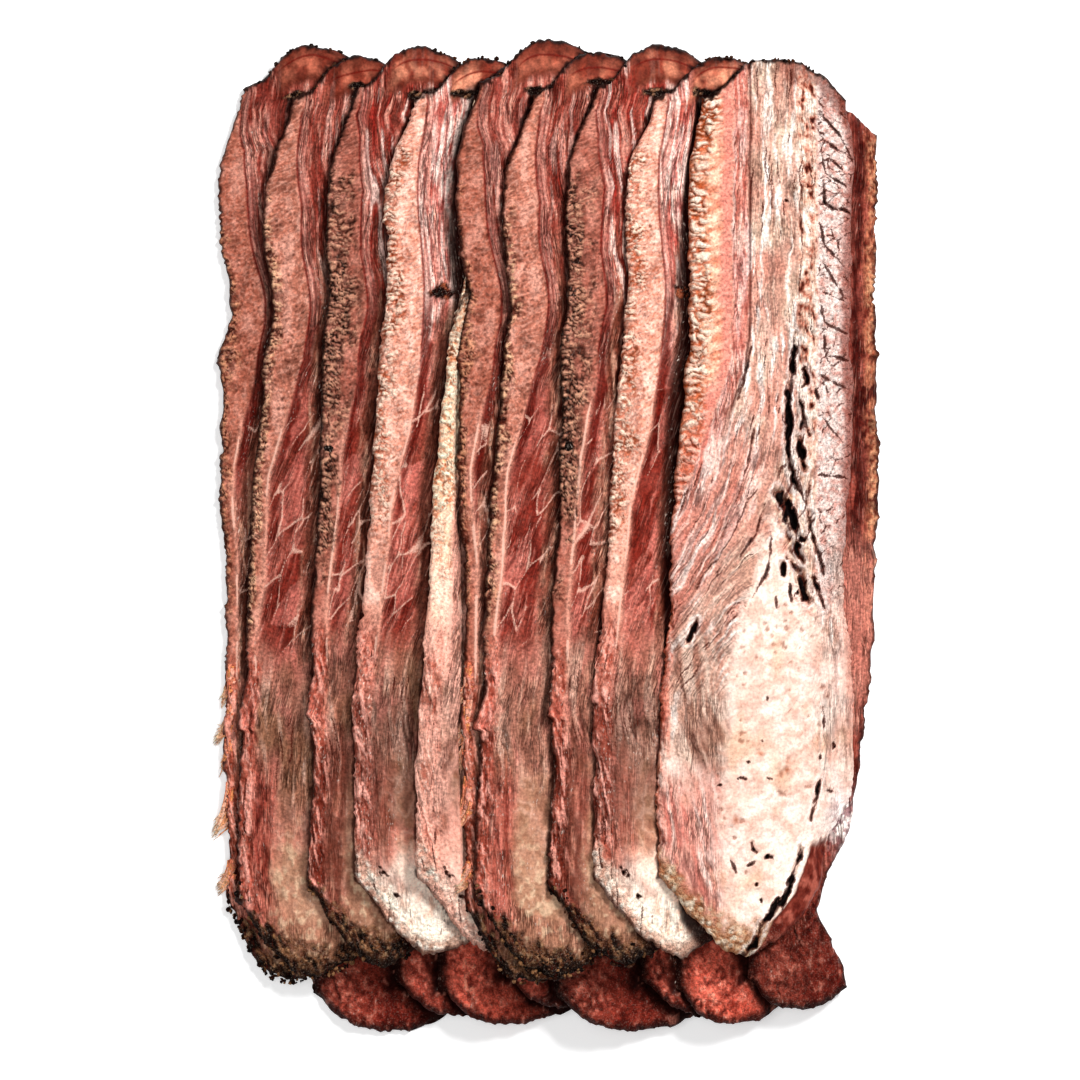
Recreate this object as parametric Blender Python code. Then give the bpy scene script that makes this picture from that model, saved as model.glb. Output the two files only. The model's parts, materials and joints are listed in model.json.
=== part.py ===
"""Sliced pastrami: long, thin slices of cured brisket, fanned in two overlapping rows.

Ten slices of the upper row lie over eight slices of the lower row, which sticks out below
them. Within a row, each slice lies over its neighbour on the left. Every slice is one closed
solid. Its outline is worked out from a few sizes, and it drapes over all that lie below it.

Frame: +Z up, origin on the table at the middle of the pile's footprint, +Y along the slices
towards their domed ends, +X across them in the order in which they overlap. Metres.
"""

import math

import bmesh
import bpy

MM = 0.001

# The slice
THICKNESS = 3.0 * MM            # of every slice, away from its rim
RIM = 0.55                      # thickness of the rim, as a share of the rest
LAYER = 3.7 * MM                # from one slice's underside to the next one's
LOWER_LENGTH = 243 * MM
GROUP_PITCH = 64.1 * MM         # the fan is two like handfuls of slices, side by side

# How a slice sinks to the table or to the next slice below, past the edge of the one under it
SIDE_DROP = 18 * MM
END_DROP = 34 * MM
COVER_MARGIN = 1.0 * MM

# The mesh of a slice: cells across and along, and how far its rows gather at the two ends
UPPER_CELLS = (7, 18)
LOWER_CELLS = (6, 16)
ROWS_GATHER = 0.55

# The upper slices of one handful. left: place of the left edge near the domed end.
# lean: how far the edge has moved to the left by the pointed end, or to the right if less than 0.
# tip: place of the pointed end above the lowest edge of the pile. dome: place of the domed end.
# shoulder: how far the left edge draws in at the dome. waist: how far it draws in at three
# quarters of the height. blunt: how full the lower end's left corner is.
UPPER_ROW = [
    {"left": 0.5 * MM, "lean": -2.2 * MM, "tip": 13.0 * MM, "dome": 264.5 * MM,
     "shoulder": 6.5 * MM, "waist": 3.0 * MM, "blunt": 2.8},
    {"left": 12.8 * MM, "lean": 6.6 * MM, "tip": 14.5 * MM, "dome": 261.0 * MM,
     "shoulder": 8.0 * MM, "waist": 3.2 * MM, "blunt": 2.6},
    {"left": 29.1 * MM, "lean": 3.9 * MM, "tip": 17.5 * MM, "dome": 263.0 * MM,
     "shoulder": 9.5 * MM, "waist": 1.6 * MM, "blunt": 1.9},
    {"left": 45.4 * MM, "lean": 8.8 * MM, "tip": 19.5 * MM, "dome": 260.5 * MM,
     "shoulder": 9.5 * MM, "waist": 0.6 * MM, "blunt": 1.6},
    {"left": 62.6 * MM, "lean": 8.6 * MM, "tip": 19.5 * MM, "dome": 260.0 * MM,
     "shoulder": 2.6 * MM, "waist": 0.3 * MM, "blunt": 1.6},
]
UPPER_WIDTH = 43.5 * MM         # at the domed end; the lean widens the pointed end
UPPER_BELT_AT = 0.45            # the right edge draws in a little at this share of the length
UPPER_BELT_SPREAD = 0.08
UPPER_BELT_DEPTH = 2.2 * MM
UPPER_CORNER = 3.0 * MM         # and at the domed end
UPPER_CORNER_FROM = 0.9

# The lower slices of one handful
LOWER_ROW = [
    {"left": 25.9 * MM, "tip": 0.0 * MM},
    {"left": 48.6 * MM, "tip": 3.7 * MM},
    {"left": 59.0 * MM, "tip": 1.9 * MM},
    {"left": 76.9 * MM, "tip": 5.6 * MM},
]
LOWER_PITCH = 64.9 * MM
LOWER_WIDTH = 44 * MM
NARROW_WIDTHS = (32.0 * MM, 35.5 * MM)  # of the last two lower slices;
LAST_LEAN = 5.8 * MM            # the last one is narrower still in its lower part,
LAST_LEAN_FROM = 0.43
LAST_LEAN_TO = 0.25
NECK_DEPTH = 11.5 * MM          # and draws in above its foot
NECK_HEIGHT = 28 * MM
NECK_LENGTH = 13 * MM

# The ends of a slice, as shares of its width and as heights
TIP_AT = 0.43
TIP_RISE_LEFT = 23 * MM
TIP_RISE_RIGHT = 32 * MM
TIP_BLUNT_RIGHT = 1.7
LOBE_AT = 0.42
LOBE_RISE = 11 * MM
LOBE_BLUNT = 3.0
SHOULDER_FLAT = 0.07            # the low shoulder takes this share of the domed end's width,
SHOULDER_CLIMB = 0.31           # and the climb from it to the dome this share
SHOULDER_DROP = 11 * MM
DOME_AT = 0.56
DOME_DROP = 8.5 * MM
DOME_ROUND = 2.2
LOWER_SHOULDER = 2.0 * MM       # the left edge of a lower slice draws in this much at the dome

# A slice's edges wander a little, in a long wave and a shorter one, each slice's in its own phase
WANDER = 0.55 * MM
WANDER_TURNS = 3.2
SHORT_WANDER = 0.5
SHORT_TURNS = 2.3
RIGHT_PHASE = 2.1
UPPER_PHASE = 1.7
LOWER_PHASE = 2.3

# Heights along a slice, as shares of its length
SHOULDER_FROM = 0.86
SHOULDER_TO = 0.96
WAIST_AT = 0.725
WAIST_SPREAD = 0.045
LEAN_FROM = 0.82
LEAN_TO = 0.16

COLOURS = {
    "brown": (0.42, 0.20, 0.16, 1.0),
    "dark": (0.30, 0.13, 0.10, 1.0),
    "pink": (0.62, 0.36, 0.30, 1.0),
    "pale": (0.80, 0.55, 0.47, 1.0),
    "red": (0.33, 0.09, 0.08, 1.0),
}
UPPER_COLOURS = ["brown", "brown", "dark", "pink", "pale"]
ROUGHNESS = 0.45


def clear_scene():
    """Leave nothing of the start-up scene."""
    for obj in list(bpy.data.objects):
        bpy.data.objects.remove(obj, do_unlink=True)


def smoothstep(value):
    """From 0 to 1 as the value goes from 0 to 1, with soft ends."""
    value = min(1.0, max(0.0, value))
    return value * value * (3.0 - 2.0 * value)


def bump(value):
    """1 at 0, falling off on both sides."""
    return math.exp(-value * value)


class Slice:
    """One slice's outline and place, all in the frame of the pile before it is centred."""

    def __init__(self, name, colour, cells, left, right, tip, top, tip_outline, phase):
        self.name = name
        self.colour = colour
        self.cells = cells
        self.left = left
        self.right = right
        self.tip = tip
        self.top = top
        self.tip_outline = tip_outline
        self.phase = phase

    def share(self, y):
        """How far up the slice a height is, from 0 at its tip to 1 at its dome."""
        return min(1.0, max(0.0, (y - self.tip) / (self.top - self.tip)))

    def wander(self, t, phase):
        """The small waves of an edge."""
        turn = 2.0 * math.pi * WANDER_TURNS * t + phase
        return WANDER * (math.sin(turn) + SHORT_WANDER * math.sin(SHORT_TURNS * turn + phase))

    def left_edge(self, y):
        """Place of the left edge at a height."""
        t = self.share(y)
        return self.left(t) + self.wander(t, self.phase)

    def right_edge(self, y):
        """Place of the right edge at a height."""
        t = self.share(y)
        return self.right(t) + self.wander(t, self.phase + RIGHT_PHASE)

    def top_outline(self, u):
        """Height of the domed end at a share of the width: a low shoulder, then the dome."""
        shoulder = SHOULDER_DROP * (1.0 - smoothstep((u - SHOULDER_FLAT) / SHOULDER_CLIMB))
        side = max(0.0, (u - DOME_AT) / (1.0 - DOME_AT))
        return self.top - shoulder - DOME_DROP * side ** DOME_ROUND

    def place(self, u, v):
        """Point of the slice at shares u of its width and v of its length."""
        low = self.tip + self.tip_outline(u)
        y = low + (self.top_outline(u) - low) * v
        left = self.left_edge(y)
        return left + (self.right_edge(y) - left) * u, y

    def cover(self, x, y):
        """1 over the slice, and falling softly to 0 past its edges and ends."""
        y_on = min(self.top, max(self.tip, y))
        past_side = max(self.left_edge(y_on) - x, x - self.right_edge(y_on), 0.0)
        past_end = max(self.tip - y, y - self.top, 0.0)
        side = 1.0 - smoothstep((past_side - COVER_MARGIN) / SIDE_DROP)
        end = 1.0 - smoothstep((past_end - COVER_MARGIN) / END_DROP)
        return side * end


def past_share(u, middle):
    """How far a share of the width is from the middle one, as a share of what is left there."""
    return (middle - u) / middle if u < middle else (u - middle) / (1.0 - middle)


def lobed_end(u):
    """Rise of a lower slice's blunt lower end."""
    return LOBE_RISE * past_share(u, LOBE_AT) ** LOBE_BLUNT


def upper_slice(number):
    """An upper slice: its left edge draws in at the shoulder and the waist, and leans."""
    handful, place = divmod(number, len(UPPER_ROW))
    sizes = UPPER_ROW[place]
    start = sizes["left"] + handful * GROUP_PITCH

    def left(t):
        shoulder = sizes["shoulder"] * smoothstep((t - SHOULDER_FROM) / (SHOULDER_TO - SHOULDER_FROM))
        waist = sizes["waist"] * bump((t - WAIST_AT) / WAIST_SPREAD)
        lean = sizes["lean"] * smoothstep((LEAN_FROM - t) / (LEAN_FROM - LEAN_TO))
        return start + shoulder + waist - lean

    def right(t):
        belt = UPPER_BELT_DEPTH * bump((t - UPPER_BELT_AT) / UPPER_BELT_SPREAD)
        corner = UPPER_CORNER * smoothstep((t - UPPER_CORNER_FROM) / (1.0 - UPPER_CORNER_FROM))
        return start + UPPER_WIDTH - belt - corner

    def pointed_end(u):
        if u < TIP_AT:
            return TIP_RISE_LEFT * past_share(u, TIP_AT) ** sizes["blunt"]
        return TIP_RISE_RIGHT * past_share(u, TIP_AT) ** TIP_BLUNT_RIGHT

    return Slice(f"upper_slice_{number + 1:02d}", UPPER_COLOURS[place], UPPER_CELLS,
                 left, right, sizes["tip"], sizes["dome"], pointed_end, UPPER_PHASE * place)


def lower_slice(number):
    """A lower slice: a plain strip with a blunt end; the last one has a neck above its foot."""
    handful, place = divmod(number, len(LOWER_ROW))
    sizes = LOWER_ROW[place]
    start = sizes["left"] + handful * LOWER_PITCH
    last_number = 2 * len(LOWER_ROW) - 1
    width = NARROW_WIDTHS[number - last_number - 1] if number >= last_number - 1 else LOWER_WIDTH

    def left(t):
        shoulder = smoothstep((t - SHOULDER_FROM) / (SHOULDER_TO - SHOULDER_FROM))
        return start + LOWER_SHOULDER * shoulder

    def right(t):
        if number < last_number:
            return start + width
        lean = LAST_LEAN * smoothstep((LAST_LEAN_FROM - t) / (LAST_LEAN_FROM - LAST_LEAN_TO))
        neck = NECK_DEPTH * bump((t * LOWER_LENGTH - NECK_HEIGHT) / NECK_LENGTH)
        return start + width - lean - neck

    tip = sizes["tip"]
    return Slice(f"lower_slice_{number + 1:02d}", "red", LOWER_CELLS,
                 left, right, tip, tip + LOWER_LENGTH, lobed_end, LOWER_PHASE * (number + 1))


def material_for(colour):
    """The meat's colour, one material for each colour."""
    name = f"pastrami_{colour}"
    material = bpy.data.materials.get(name)
    if material is None:
        material = bpy.data.materials.new(name)
        material.use_nodes = True
        shader = material.node_tree.nodes["Principled BSDF"]
        shader.inputs["Base Color"].default_value = COLOURS[colour]
        shader.inputs["Roughness"].default_value = ROUGHNESS
        shader.inputs["Metallic"].default_value = 0.0
    return material


def model_slice(piece, below, collection):
    """A grid shaped to the slice's outline, draped over those below, and given its thickness."""
    across, along = piece.cells
    bpy.ops.mesh.primitive_grid_add(x_subdivisions=across, y_subdivisions=along, size=2.0)
    obj = bpy.context.object
    obj.name = piece.name
    obj.data.name = piece.name

    mesh = bmesh.new()
    mesh.from_mesh(obj.data)
    for vertex in mesh.verts:
        u = (vertex.co.x + 1.0) / 2.0
        row = (vertex.co.y + 1.0) / 2.0
        v = row - ROWS_GATHER * math.sin(2.0 * math.pi * row) / (2.0 * math.pi)
        x, y = piece.place(u, v)
        vertex.co = (x, y, LAYER * sum(other.cover(x, y) for other in below))

    rim = {vertex for vertex in mesh.verts if vertex.is_boundary}
    rim_places = {(round(vertex.co.x, 6), round(vertex.co.y, 6)) for vertex in rim}
    raised = bmesh.ops.extrude_face_region(mesh, geom=mesh.faces[:])
    for vertex in (item for item in raised["geom"] if isinstance(item, bmesh.types.BMVert)):
        on_rim = (round(vertex.co.x, 6), round(vertex.co.y, 6)) in rim_places
        vertex.co.z += THICKNESS * (RIM if on_rim else 1.0)
    bmesh.ops.recalc_face_normals(mesh, faces=mesh.faces[:])
    bmesh.ops.triangulate(mesh, faces=mesh.faces[:])
    mesh.to_mesh(obj.data)
    mesh.free()

    obj.data.materials.clear()
    obj.data.materials.append(material_for(piece.colour))
    for owner in list(obj.users_collection):
        owner.objects.unlink(obj)
    collection.objects.link(obj)
    return obj


def centre_pile(objects):
    """Put the middle of the pile's footprint at the origin."""
    for axis in (0, 1):
        places = [vertex.co[axis] for obj in objects for vertex in obj.data.vertices]
        middle = (min(places) + max(places)) / 2.0
        for obj in objects:
            for vertex in obj.data.vertices:
                vertex.co[axis] -= middle


def main():
    clear_scene()
    collection = bpy.data.collections.new("sliced_pastrami")
    bpy.context.scene.collection.children.link(collection)

    pieces = [lower_slice(number) for number in range(2 * len(LOWER_ROW))]
    pieces += [upper_slice(number) for number in range(2 * len(UPPER_ROW))]
    objects = [model_slice(piece, pieces[:order], collection) for order, piece in enumerate(pieces)]
    centre_pile(objects)


main()
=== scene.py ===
# %% [markdown]
# # Sliced pastrami, fanned in two rows
#
# Long, thin slices of cured and smoked brisket lie like roof tiles, each one over its neighbour
# on the left. Ten of them lie on eight more. The frame knows where every slice lies and how it
# drapes. This lesson gives each slice its looks: the crumbly fat along its left edge, the fibres,
# the pits and cracks, and the black spiced crust at its ends.

# %% Load the frame
import json
import math
from types import SimpleNamespace

import bmesh
import bpy
import numpy as np
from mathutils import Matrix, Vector
from mathutils.bvhtree import BVHTree

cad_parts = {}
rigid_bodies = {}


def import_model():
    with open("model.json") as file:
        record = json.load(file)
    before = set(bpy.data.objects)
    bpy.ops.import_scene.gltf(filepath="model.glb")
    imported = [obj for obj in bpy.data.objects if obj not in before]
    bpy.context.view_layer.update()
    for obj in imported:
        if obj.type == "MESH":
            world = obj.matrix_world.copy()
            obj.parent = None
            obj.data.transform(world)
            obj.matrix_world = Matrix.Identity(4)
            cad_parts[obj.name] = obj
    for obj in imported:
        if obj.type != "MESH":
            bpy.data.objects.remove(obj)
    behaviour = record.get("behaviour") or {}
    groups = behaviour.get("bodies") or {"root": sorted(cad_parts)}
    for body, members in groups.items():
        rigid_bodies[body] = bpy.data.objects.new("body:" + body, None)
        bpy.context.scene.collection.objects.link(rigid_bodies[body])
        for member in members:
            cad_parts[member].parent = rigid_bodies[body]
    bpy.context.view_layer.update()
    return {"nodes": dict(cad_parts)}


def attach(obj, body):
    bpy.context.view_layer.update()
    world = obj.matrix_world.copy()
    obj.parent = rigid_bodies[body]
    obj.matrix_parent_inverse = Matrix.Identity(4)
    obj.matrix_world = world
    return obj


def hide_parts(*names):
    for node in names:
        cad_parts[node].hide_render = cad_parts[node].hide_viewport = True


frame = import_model()
bpy.ops.object.select_all(action="DESELECT")

MM = 0.001
UPPER = sorted(name for name in frame["nodes"] if name.startswith("upper_slice"))
LOWER = sorted(name for name in frame["nodes"] if name.startswith("lower_slice"))
print("upper slices:", len(UPPER), "lower slices:", len(LOWER))

# %% [markdown]
# ## The camera
#
# The photo looks almost straight down on the meat, from the side where the lower row sticks out.
# A long lens keeps the slices parallel. Its distance follows from the size of a pixel.

# %% Place the camera
PHOTO_WIDTH = 1080                  # pixels
PIXEL = 0.267 * MM                  # of the meat
ELEVATION = math.radians(88)
LENS = 300.0
SENSOR = 36.0
TARGET = Vector((-2.4, -1.2, 16.0)) * MM

distance = PHOTO_WIDTH * PIXEL * LENS / SENSOR
camera_data = bpy.data.cameras.new("camera")
camera_data.lens = LENS
camera_data.sensor_width = SENSOR
camera_data.clip_start = 0.01
camera_data.clip_end = 10.0
camera = bpy.data.objects.new("camera", camera_data)
bpy.context.scene.collection.objects.link(camera)
backwards = Vector((0.0, -math.cos(ELEVATION), math.sin(ELEVATION)))
camera.location = TARGET + backwards * distance
camera.rotation_euler = (-backwards).to_track_quat("-Z", "Y").to_euler()
bpy.context.scene.camera = camera
print(f"camera at {distance * 1000:.0f} mm")

# %% [markdown]
# ## Uneven numbers
#
# Meat is uneven at every scale. Noise gives a smooth random number for each place. Summing a few
# sizes of it gives grain. Cells, in which each place asks how far its nearest random point is,
# give crumbs, pits and the thin seams between muscle bundles. Both read one seeded table, so
# that every run gives the same meat.

# %% Noise on arrays of places
TABLE_SIDE = 256
TABLE, TABLE_TWO = (np.random.default_rng(seed).random((TABLE_SIDE, TABLE_SIDE)) for seed in (7, 8))
SEED_STEP = (37.17, 91.73)          # how far each seed moves into the table
NUMBER_STEP = (11, 5)               # from a cell's entry in the table to its number
FAR = 9.0


def soft(share):
    """0 to 1 with a slow start and a slow end."""
    return share * share * (3.0 - 2.0 * share)


def ramp(value, low, high):
    """0 below low, 1 above high, and soft between."""
    return soft(np.clip((value - low) / (high - low), 0.0, 1.0))


def below(value, low, high):
    """1 below low, 0 above high, and soft between."""
    return 1.0 - ramp(value, low, high)


def band(value, low, high, side):
    """1 between low and high, with soft sides."""
    return ramp(value, low - side, low + side) * below(value, high - side, high + side)


def hill(value, middle, spread):
    """1 at the middle, falling off on both sides."""
    return np.exp(-((value - middle) / spread) ** 2)


def mound(x, middle_x, spread_x, y, middle_y, spread_y):
    """1 at one place, falling off all around it."""
    return np.exp(-((x - middle_x) / spread_x) ** 2 - ((y - middle_y) / spread_y) ** 2)


def entries(x, y, seed):
    """Places moved by their seed, and the column and row of the table that they fall in."""
    x = x + SEED_STEP[0] * seed
    y = y + SEED_STEP[1] * seed
    return x, y, np.floor(x).astype(np.int64), np.floor(y).astype(np.int64)


def noise(x, y, seed):
    """Smooth random numbers from 0 to 1, one unit apart."""
    x, y, column, row = entries(x, y, seed)
    fx, fy = soft(x - column), soft(y - row)
    c0, c1 = column % TABLE_SIDE, (column + 1) % TABLE_SIDE
    r0, r1 = row % TABLE_SIDE, (row + 1) % TABLE_SIDE
    low = TABLE[c0, r0] * (1.0 - fx) + TABLE[c1, r0] * fx
    high = TABLE[c0, r1] * (1.0 - fx) + TABLE[c1, r1] * fx
    return low * (1.0 - fy) + high * fy


def grain(x, y, seed, octaves=3):
    """Noise of several sizes, summed and brought back to 0 to 1."""
    total = np.zeros_like(x)
    weight = 0.0
    for octave in range(octaves):
        share = 0.5 ** octave
        total += share * noise(x * 2.0 ** octave, y * 2.0 ** octave, seed + 13 * octave)
        weight += share
    return total / weight


def ridges(x, y, seed, octaves=2):
    """Curly ridges: 1 along the lines where the grain crosses its middle value."""
    folded = 1.0 - np.abs(2.0 * grain(x, y, seed, octaves) - 1.0) * 2.2
    return np.clip(folded, 0.0, 1.0)


def cells(x, y, seed):
    """Distance to the nearest and the second nearest random point, and the nearest one's number."""
    x, y, column, row = entries(x, y, seed)
    first, second, number = np.full_like(x, FAR), np.full_like(x, FAR), np.zeros_like(x)
    for dc in (-1, 0, 1):
        for dr in (-1, 0, 1):
            c, r = (column + dc) % TABLE_SIDE, (row + dr) % TABLE_SIDE
            away = np.hypot(column + dc + TABLE[c, r] - x, row + dr + TABLE_TWO[c, r] - y)
            nearer = away < first
            second = np.where(nearer, first, np.minimum(second, away))
            own = TABLE[(c + NUMBER_STEP[0]) % TABLE_SIDE, (r + NUMBER_STEP[1]) % TABLE_SIDE]
            number = np.where(nearer, own, number)
            first = np.where(nearer, away, first)
    return first, second, number


print("noise table", TABLE.shape, "first", round(float(TABLE[0, 0]), 3))

# %% [markdown]
# ## How a slice lies
#
# A slice's solid in the frame is coarse, but it says all that matters: its outline from above and
# the height of its underside everywhere. The outline is read from the rim of the underside, and
# the heights by casting rays up at it. Both are smoothed, because the meat has no facets.

# %% Read a slice's lay from the frame
LEVELS = 500                        # places along a slice where its two edges are read
LAY_COLUMNS, LAY_ROWS = 25, 90      # places where its height is read
CORNER_LOW_UPPER = 30.0             # mm at an upper slice's lower end that belong to its outline
CORNER_LOW_LOWER = 12.0             # and at a lower slice's
CORNER_HIGH = 13.0                  # and at the domed end
EDGE_SMOOTH = 9                     # samples
END_SMOOTH = 4
WELD = 1e-5                         # m: loose corners closer than this are one
FACING_DOWN = -0.3                  # a face whose normal points lower belongs to the underside


def smoothed(values, spread):
    """Values run through a soft window, with the ends held."""
    reach = 3 * spread
    window = np.exp(-0.5 * (np.arange(-reach, reach + 1) / spread) ** 2)
    window /= window.sum()
    padded = np.pad(values, reach, mode="edge")
    return np.convolve(padded, window, mode="valid")


def merged_copy(name):
    """The node's mesh with its loose triangles joined. The node's own mesh stays as it is."""
    mesh = bmesh.new()
    mesh.from_mesh(frame["nodes"][name].data)
    bmesh.ops.remove_doubles(mesh, verts=mesh.verts[:], dist=WELD)
    mesh.normal_update()
    return mesh


def crossings(loop, axis, level):
    """Lowest and highest place at which the closed loop crosses each level of one axis."""
    start, end = loop, np.roll(loop, -1, axis=0)
    a, b = start[:, axis], end[:, axis]
    c, d = start[:, 1 - axis], end[:, 1 - axis]
    level = level[:, None]
    crosses = (np.minimum(a, b) <= level) & (np.maximum(a, b) >= level)
    share = (level - a) / np.where(np.abs(b - a) < 1e-12, 1e-12, b - a)
    place = c + (d - c) * np.clip(share, 0.0, 1.0)
    return np.where(crosses, place, np.inf).min(1), np.where(crosses, place, -np.inf).max(1)


def cubic(values, positions):
    """Smooth reading of rows of values at fractional positions."""
    last = len(values) - 1
    i = np.clip(np.floor(positions).astype(int), 0, last - 1)
    t = (positions - i)[:, None]
    p0, p1 = values[np.maximum(i - 1, 0)], values[i]
    p2, p3 = values[i + 1], values[np.minimum(i + 2, last)]
    bend = 2 * p0 - 5 * p1 + 4 * p2 - p3 + t * (3 * (p1 - p2) + p3 - p0)
    return p1 + 0.5 * t * (p2 - p0 + t * bend)


class Lay:
    """Where one slice lies, in mm: its edges, its ends and the height of its underside."""

    def __init__(self, name):
        mesh = merged_copy(name)
        under = {face for face in mesh.faces if face.normal.z < FACING_DOWN}
        links = {}
        for edge in mesh.edges:
            if len(under.intersection(edge.link_faces)) == 1:
                for one, other in (edge.verts, reversed(edge.verts)):
                    links.setdefault(one, []).append(other)
        here = next(iter(links))
        loop, before = [], None
        while len(loop) < len(links):
            loop.append((here.co.x / MM, here.co.y / MM))
            after = links[here][0] if links[here][0] is not before else links[here][1]
            before, here = here, after
        loop = np.array(loop)

        self.low, self.high = loop[:, 1].min(), loop[:, 1].max()
        corner = CORNER_LOW_UPPER if name in UPPER else CORNER_LOW_LOWER
        self.levels = np.linspace(self.low + corner, self.high - CORNER_HIGH, LEVELS)
        left, right = crossings(loop, 1, self.levels)
        self.left_at = smoothed(left, EDGE_SMOOTH)
        self.right_at = smoothed(right, EDGE_SMOOTH)

        self.shares = np.linspace(0.0, 1.0, 101)
        inside = np.clip(self.shares, 0.02, 0.98)
        across = self.left_at[0] + (self.right_at[0] - self.left_at[0]) * inside
        self.tip_at = smoothed(crossings(loop, 0, across)[0], END_SMOOTH)
        across = self.left_at[-1] + (self.right_at[-1] - self.left_at[-1]) * inside
        self.top_at = smoothed(crossings(loop, 0, across)[1], END_SMOOTH)

        tree = BVHTree.FromBMesh(mesh)
        u, v = np.meshgrid(np.linspace(0, 1, LAY_COLUMNS), np.linspace(0, 1, LAY_ROWS))
        x, y = self.place(np.clip(u, 0.03, 0.97).ravel(), np.clip(v, 0.01, 0.99).ravel())
        heights = []
        for px, py in zip(x, y):
            hit = tree.ray_cast(Vector((px * MM, py * MM, -1.0)), Vector((0.0, 0.0, 1.0)))[0]
            heights.append(hit.z / MM if hit else np.nan)
        heights = np.array(heights).reshape(LAY_ROWS, LAY_COLUMNS)
        for row in heights:
            missing = np.isnan(row)
            if missing.any() and not missing.all():
                holes, known = np.flatnonzero(missing), np.flatnonzero(~missing)
                row[holes] = np.interp(holes, known, row[known])
        for _ in range(2):
            heights = np.apply_along_axis(smoothed, 0, heights, 1)
            heights = np.apply_along_axis(smoothed, 1, heights, 1)
        self.heights = heights
        mesh.free()

    def left(self, y):
        return np.interp(y, self.levels, self.left_at)

    def right(self, y):
        return np.interp(y, self.levels, self.right_at)

    def tip(self, u):
        return np.interp(u, self.shares, self.tip_at)

    def top(self, u):
        return np.interp(u, self.shares, self.top_at)

    def place(self, u, v):
        """Point of the slice at shares of its width and length, in mm."""
        y = self.tip(u) + (self.top(u) - self.tip(u)) * v
        return self.left(y) + (self.right(y) - self.left(y)) * u, y

    def underside(self, columns, rows):
        """Heights on a lattice of given shares of the width and length."""
        along = cubic(self.heights, rows * (LAY_ROWS - 1))
        return cubic(along.T, columns * (LAY_COLUMNS - 1)).T


lays = {name: Lay(name) for name in LOWER + UPPER}
for name, lay in lays.items():
    width = float((lay.right_at - lay.left_at).mean())
    print(f"{name}: {width:.1f} mm wide, {lay.high - lay.low:.1f} mm long")

# %% [markdown]
# ## A blank slice
#
# Every slice starts as a grid that is extruded into a thin closed sheet. The upper side needs a
# point every third of a millimetre where it shows, for crumbs and fibres. The underside needs
# far fewer, so most of its lines are dissolved. Slices of a kind share one blank, and each gets
# its own copy of the mesh.

# %% Make the blanks
UNDER_COLUMNS = 10                  # strips that the underside keeps
CROWDING = 0.35                     # how much closer together the rows are at the two ends


def blank(name, columns, rows):
    """A closed sheet: x and y run from -1 to 1, and z is 1 on top and 0 below."""
    bpy.ops.object.select_all(action="DESELECT")
    bpy.ops.mesh.primitive_grid_add(x_subdivisions=columns, y_subdivisions=rows, size=2.0)
    sheet = bpy.context.object
    sheet.name = name
    bpy.ops.object.mode_set(mode="EDIT")
    bpy.ops.mesh.select_all(action="SELECT")
    bpy.ops.mesh.extrude_region_move(TRANSFORM_OT_translate={"value": (0.0, 0.0, 1.0)})
    bpy.ops.mesh.select_all(action="DESELECT")
    mesh = bmesh.from_edit_mesh(sheet.data)
    every = max(1, columns // UNDER_COLUMNS)
    for edge in mesh.edges:
        one, other = edge.verts
        below = one.co.z < 0.5 and other.co.z < 0.5
        column = round((one.co.x + 1.0) / 2.0 * columns)
        along = abs(one.co.x - other.co.x) < 1e-5
        rim = column in (0, columns)
        edge.select = below and along and not rim and column % every != 0
    bmesh.update_edit_mesh(sheet.data)
    bpy.ops.mesh.dissolve_edges(use_verts=True)
    bpy.ops.mesh.select_all(action="SELECT")
    bpy.ops.mesh.normals_make_consistent(inside=False)
    bpy.ops.object.mode_set(mode="OBJECT")
    print(name, "has", len(sheet.data.polygons), "faces")
    return sheet


def spaced(parts):
    """Shares of a line along stretches, each (end, step) in mm."""
    places = [0.0]
    for end, step in parts:
        count = max(1, round((end - places[-1]) / step))
        places.extend(np.linspace(places[-1], end, count + 1)[1:])
    return np.array(places) / places[-1]


def rows_of(count):
    """Shares of the length, closer together at the two ends."""
    row = np.linspace(0.0, 1.0, count + 1)
    return row - CROWDING * np.sin(2.0 * math.pi * row) / (2.0 * math.pi)


WIDEST, LONGEST = 52.0, 243.0       # mm
END_STEPS = [(0.3, 0.15)]           # the stretches at a rim are fine, to round it
SIDE_STEPS = END_STEPS + [(0.9, 0.3)]
BLANKS = {
    "strip": (spaced(SIDE_STEPS + [(19.0, 0.34), (33.0, 0.65), (WIDEST, 2.4)]), rows_of(600)),
    "face": (spaced(SIDE_STEPS + [(WIDEST - 0.9, 0.37), (WIDEST, 0.3)]), rows_of(610)),
    "lobe": (spaced(SIDE_STEPS + [(36.0, 0.45), (WIDEST, 1.6)]),
             spaced(END_STEPS + [(26.0, 0.42), (232.0, 4.0), (242.7, 0.9), (LONGEST, 0.15)])),
    "last": (spaced(SIDE_STEPS + [(WIDEST - 0.9, 0.42), (WIDEST, 0.3)]),
             spaced(END_STEPS + [(60.0, 0.42), (242.0, 0.8), (LONGEST, 0.3)])),
}
blanks = {kind: blank(f"blank_{kind}", len(across) - 1, len(down) - 1)
          for kind, (across, down) in BLANKS.items()}

# %% [markdown]
# ## Colours
#
# The colours are named by what they are on the meat. They are written as a screen shows them and
# turned into the linear values that a shader works with.

# %% Colours of the meat
def shade(red, green, blue):
    """A screen colour, 0 to 255, as linear values."""
    screen = np.array((red, green, blue)) / 255.0
    return np.where(screen <= 0.04045, screen / 12.92, ((screen + 0.055) / 1.055) ** 2.4)


def linear(colour):
    """A screen colour as linear values. A colour that is linear already stays as it is."""
    return shade(*colour) if isinstance(colour, tuple) else colour


def mixed(colour, other, share):
    """A screen colour that moves to another one as the share grows."""
    return linear(colour) + share * (linear(other) - linear(colour))


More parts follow.
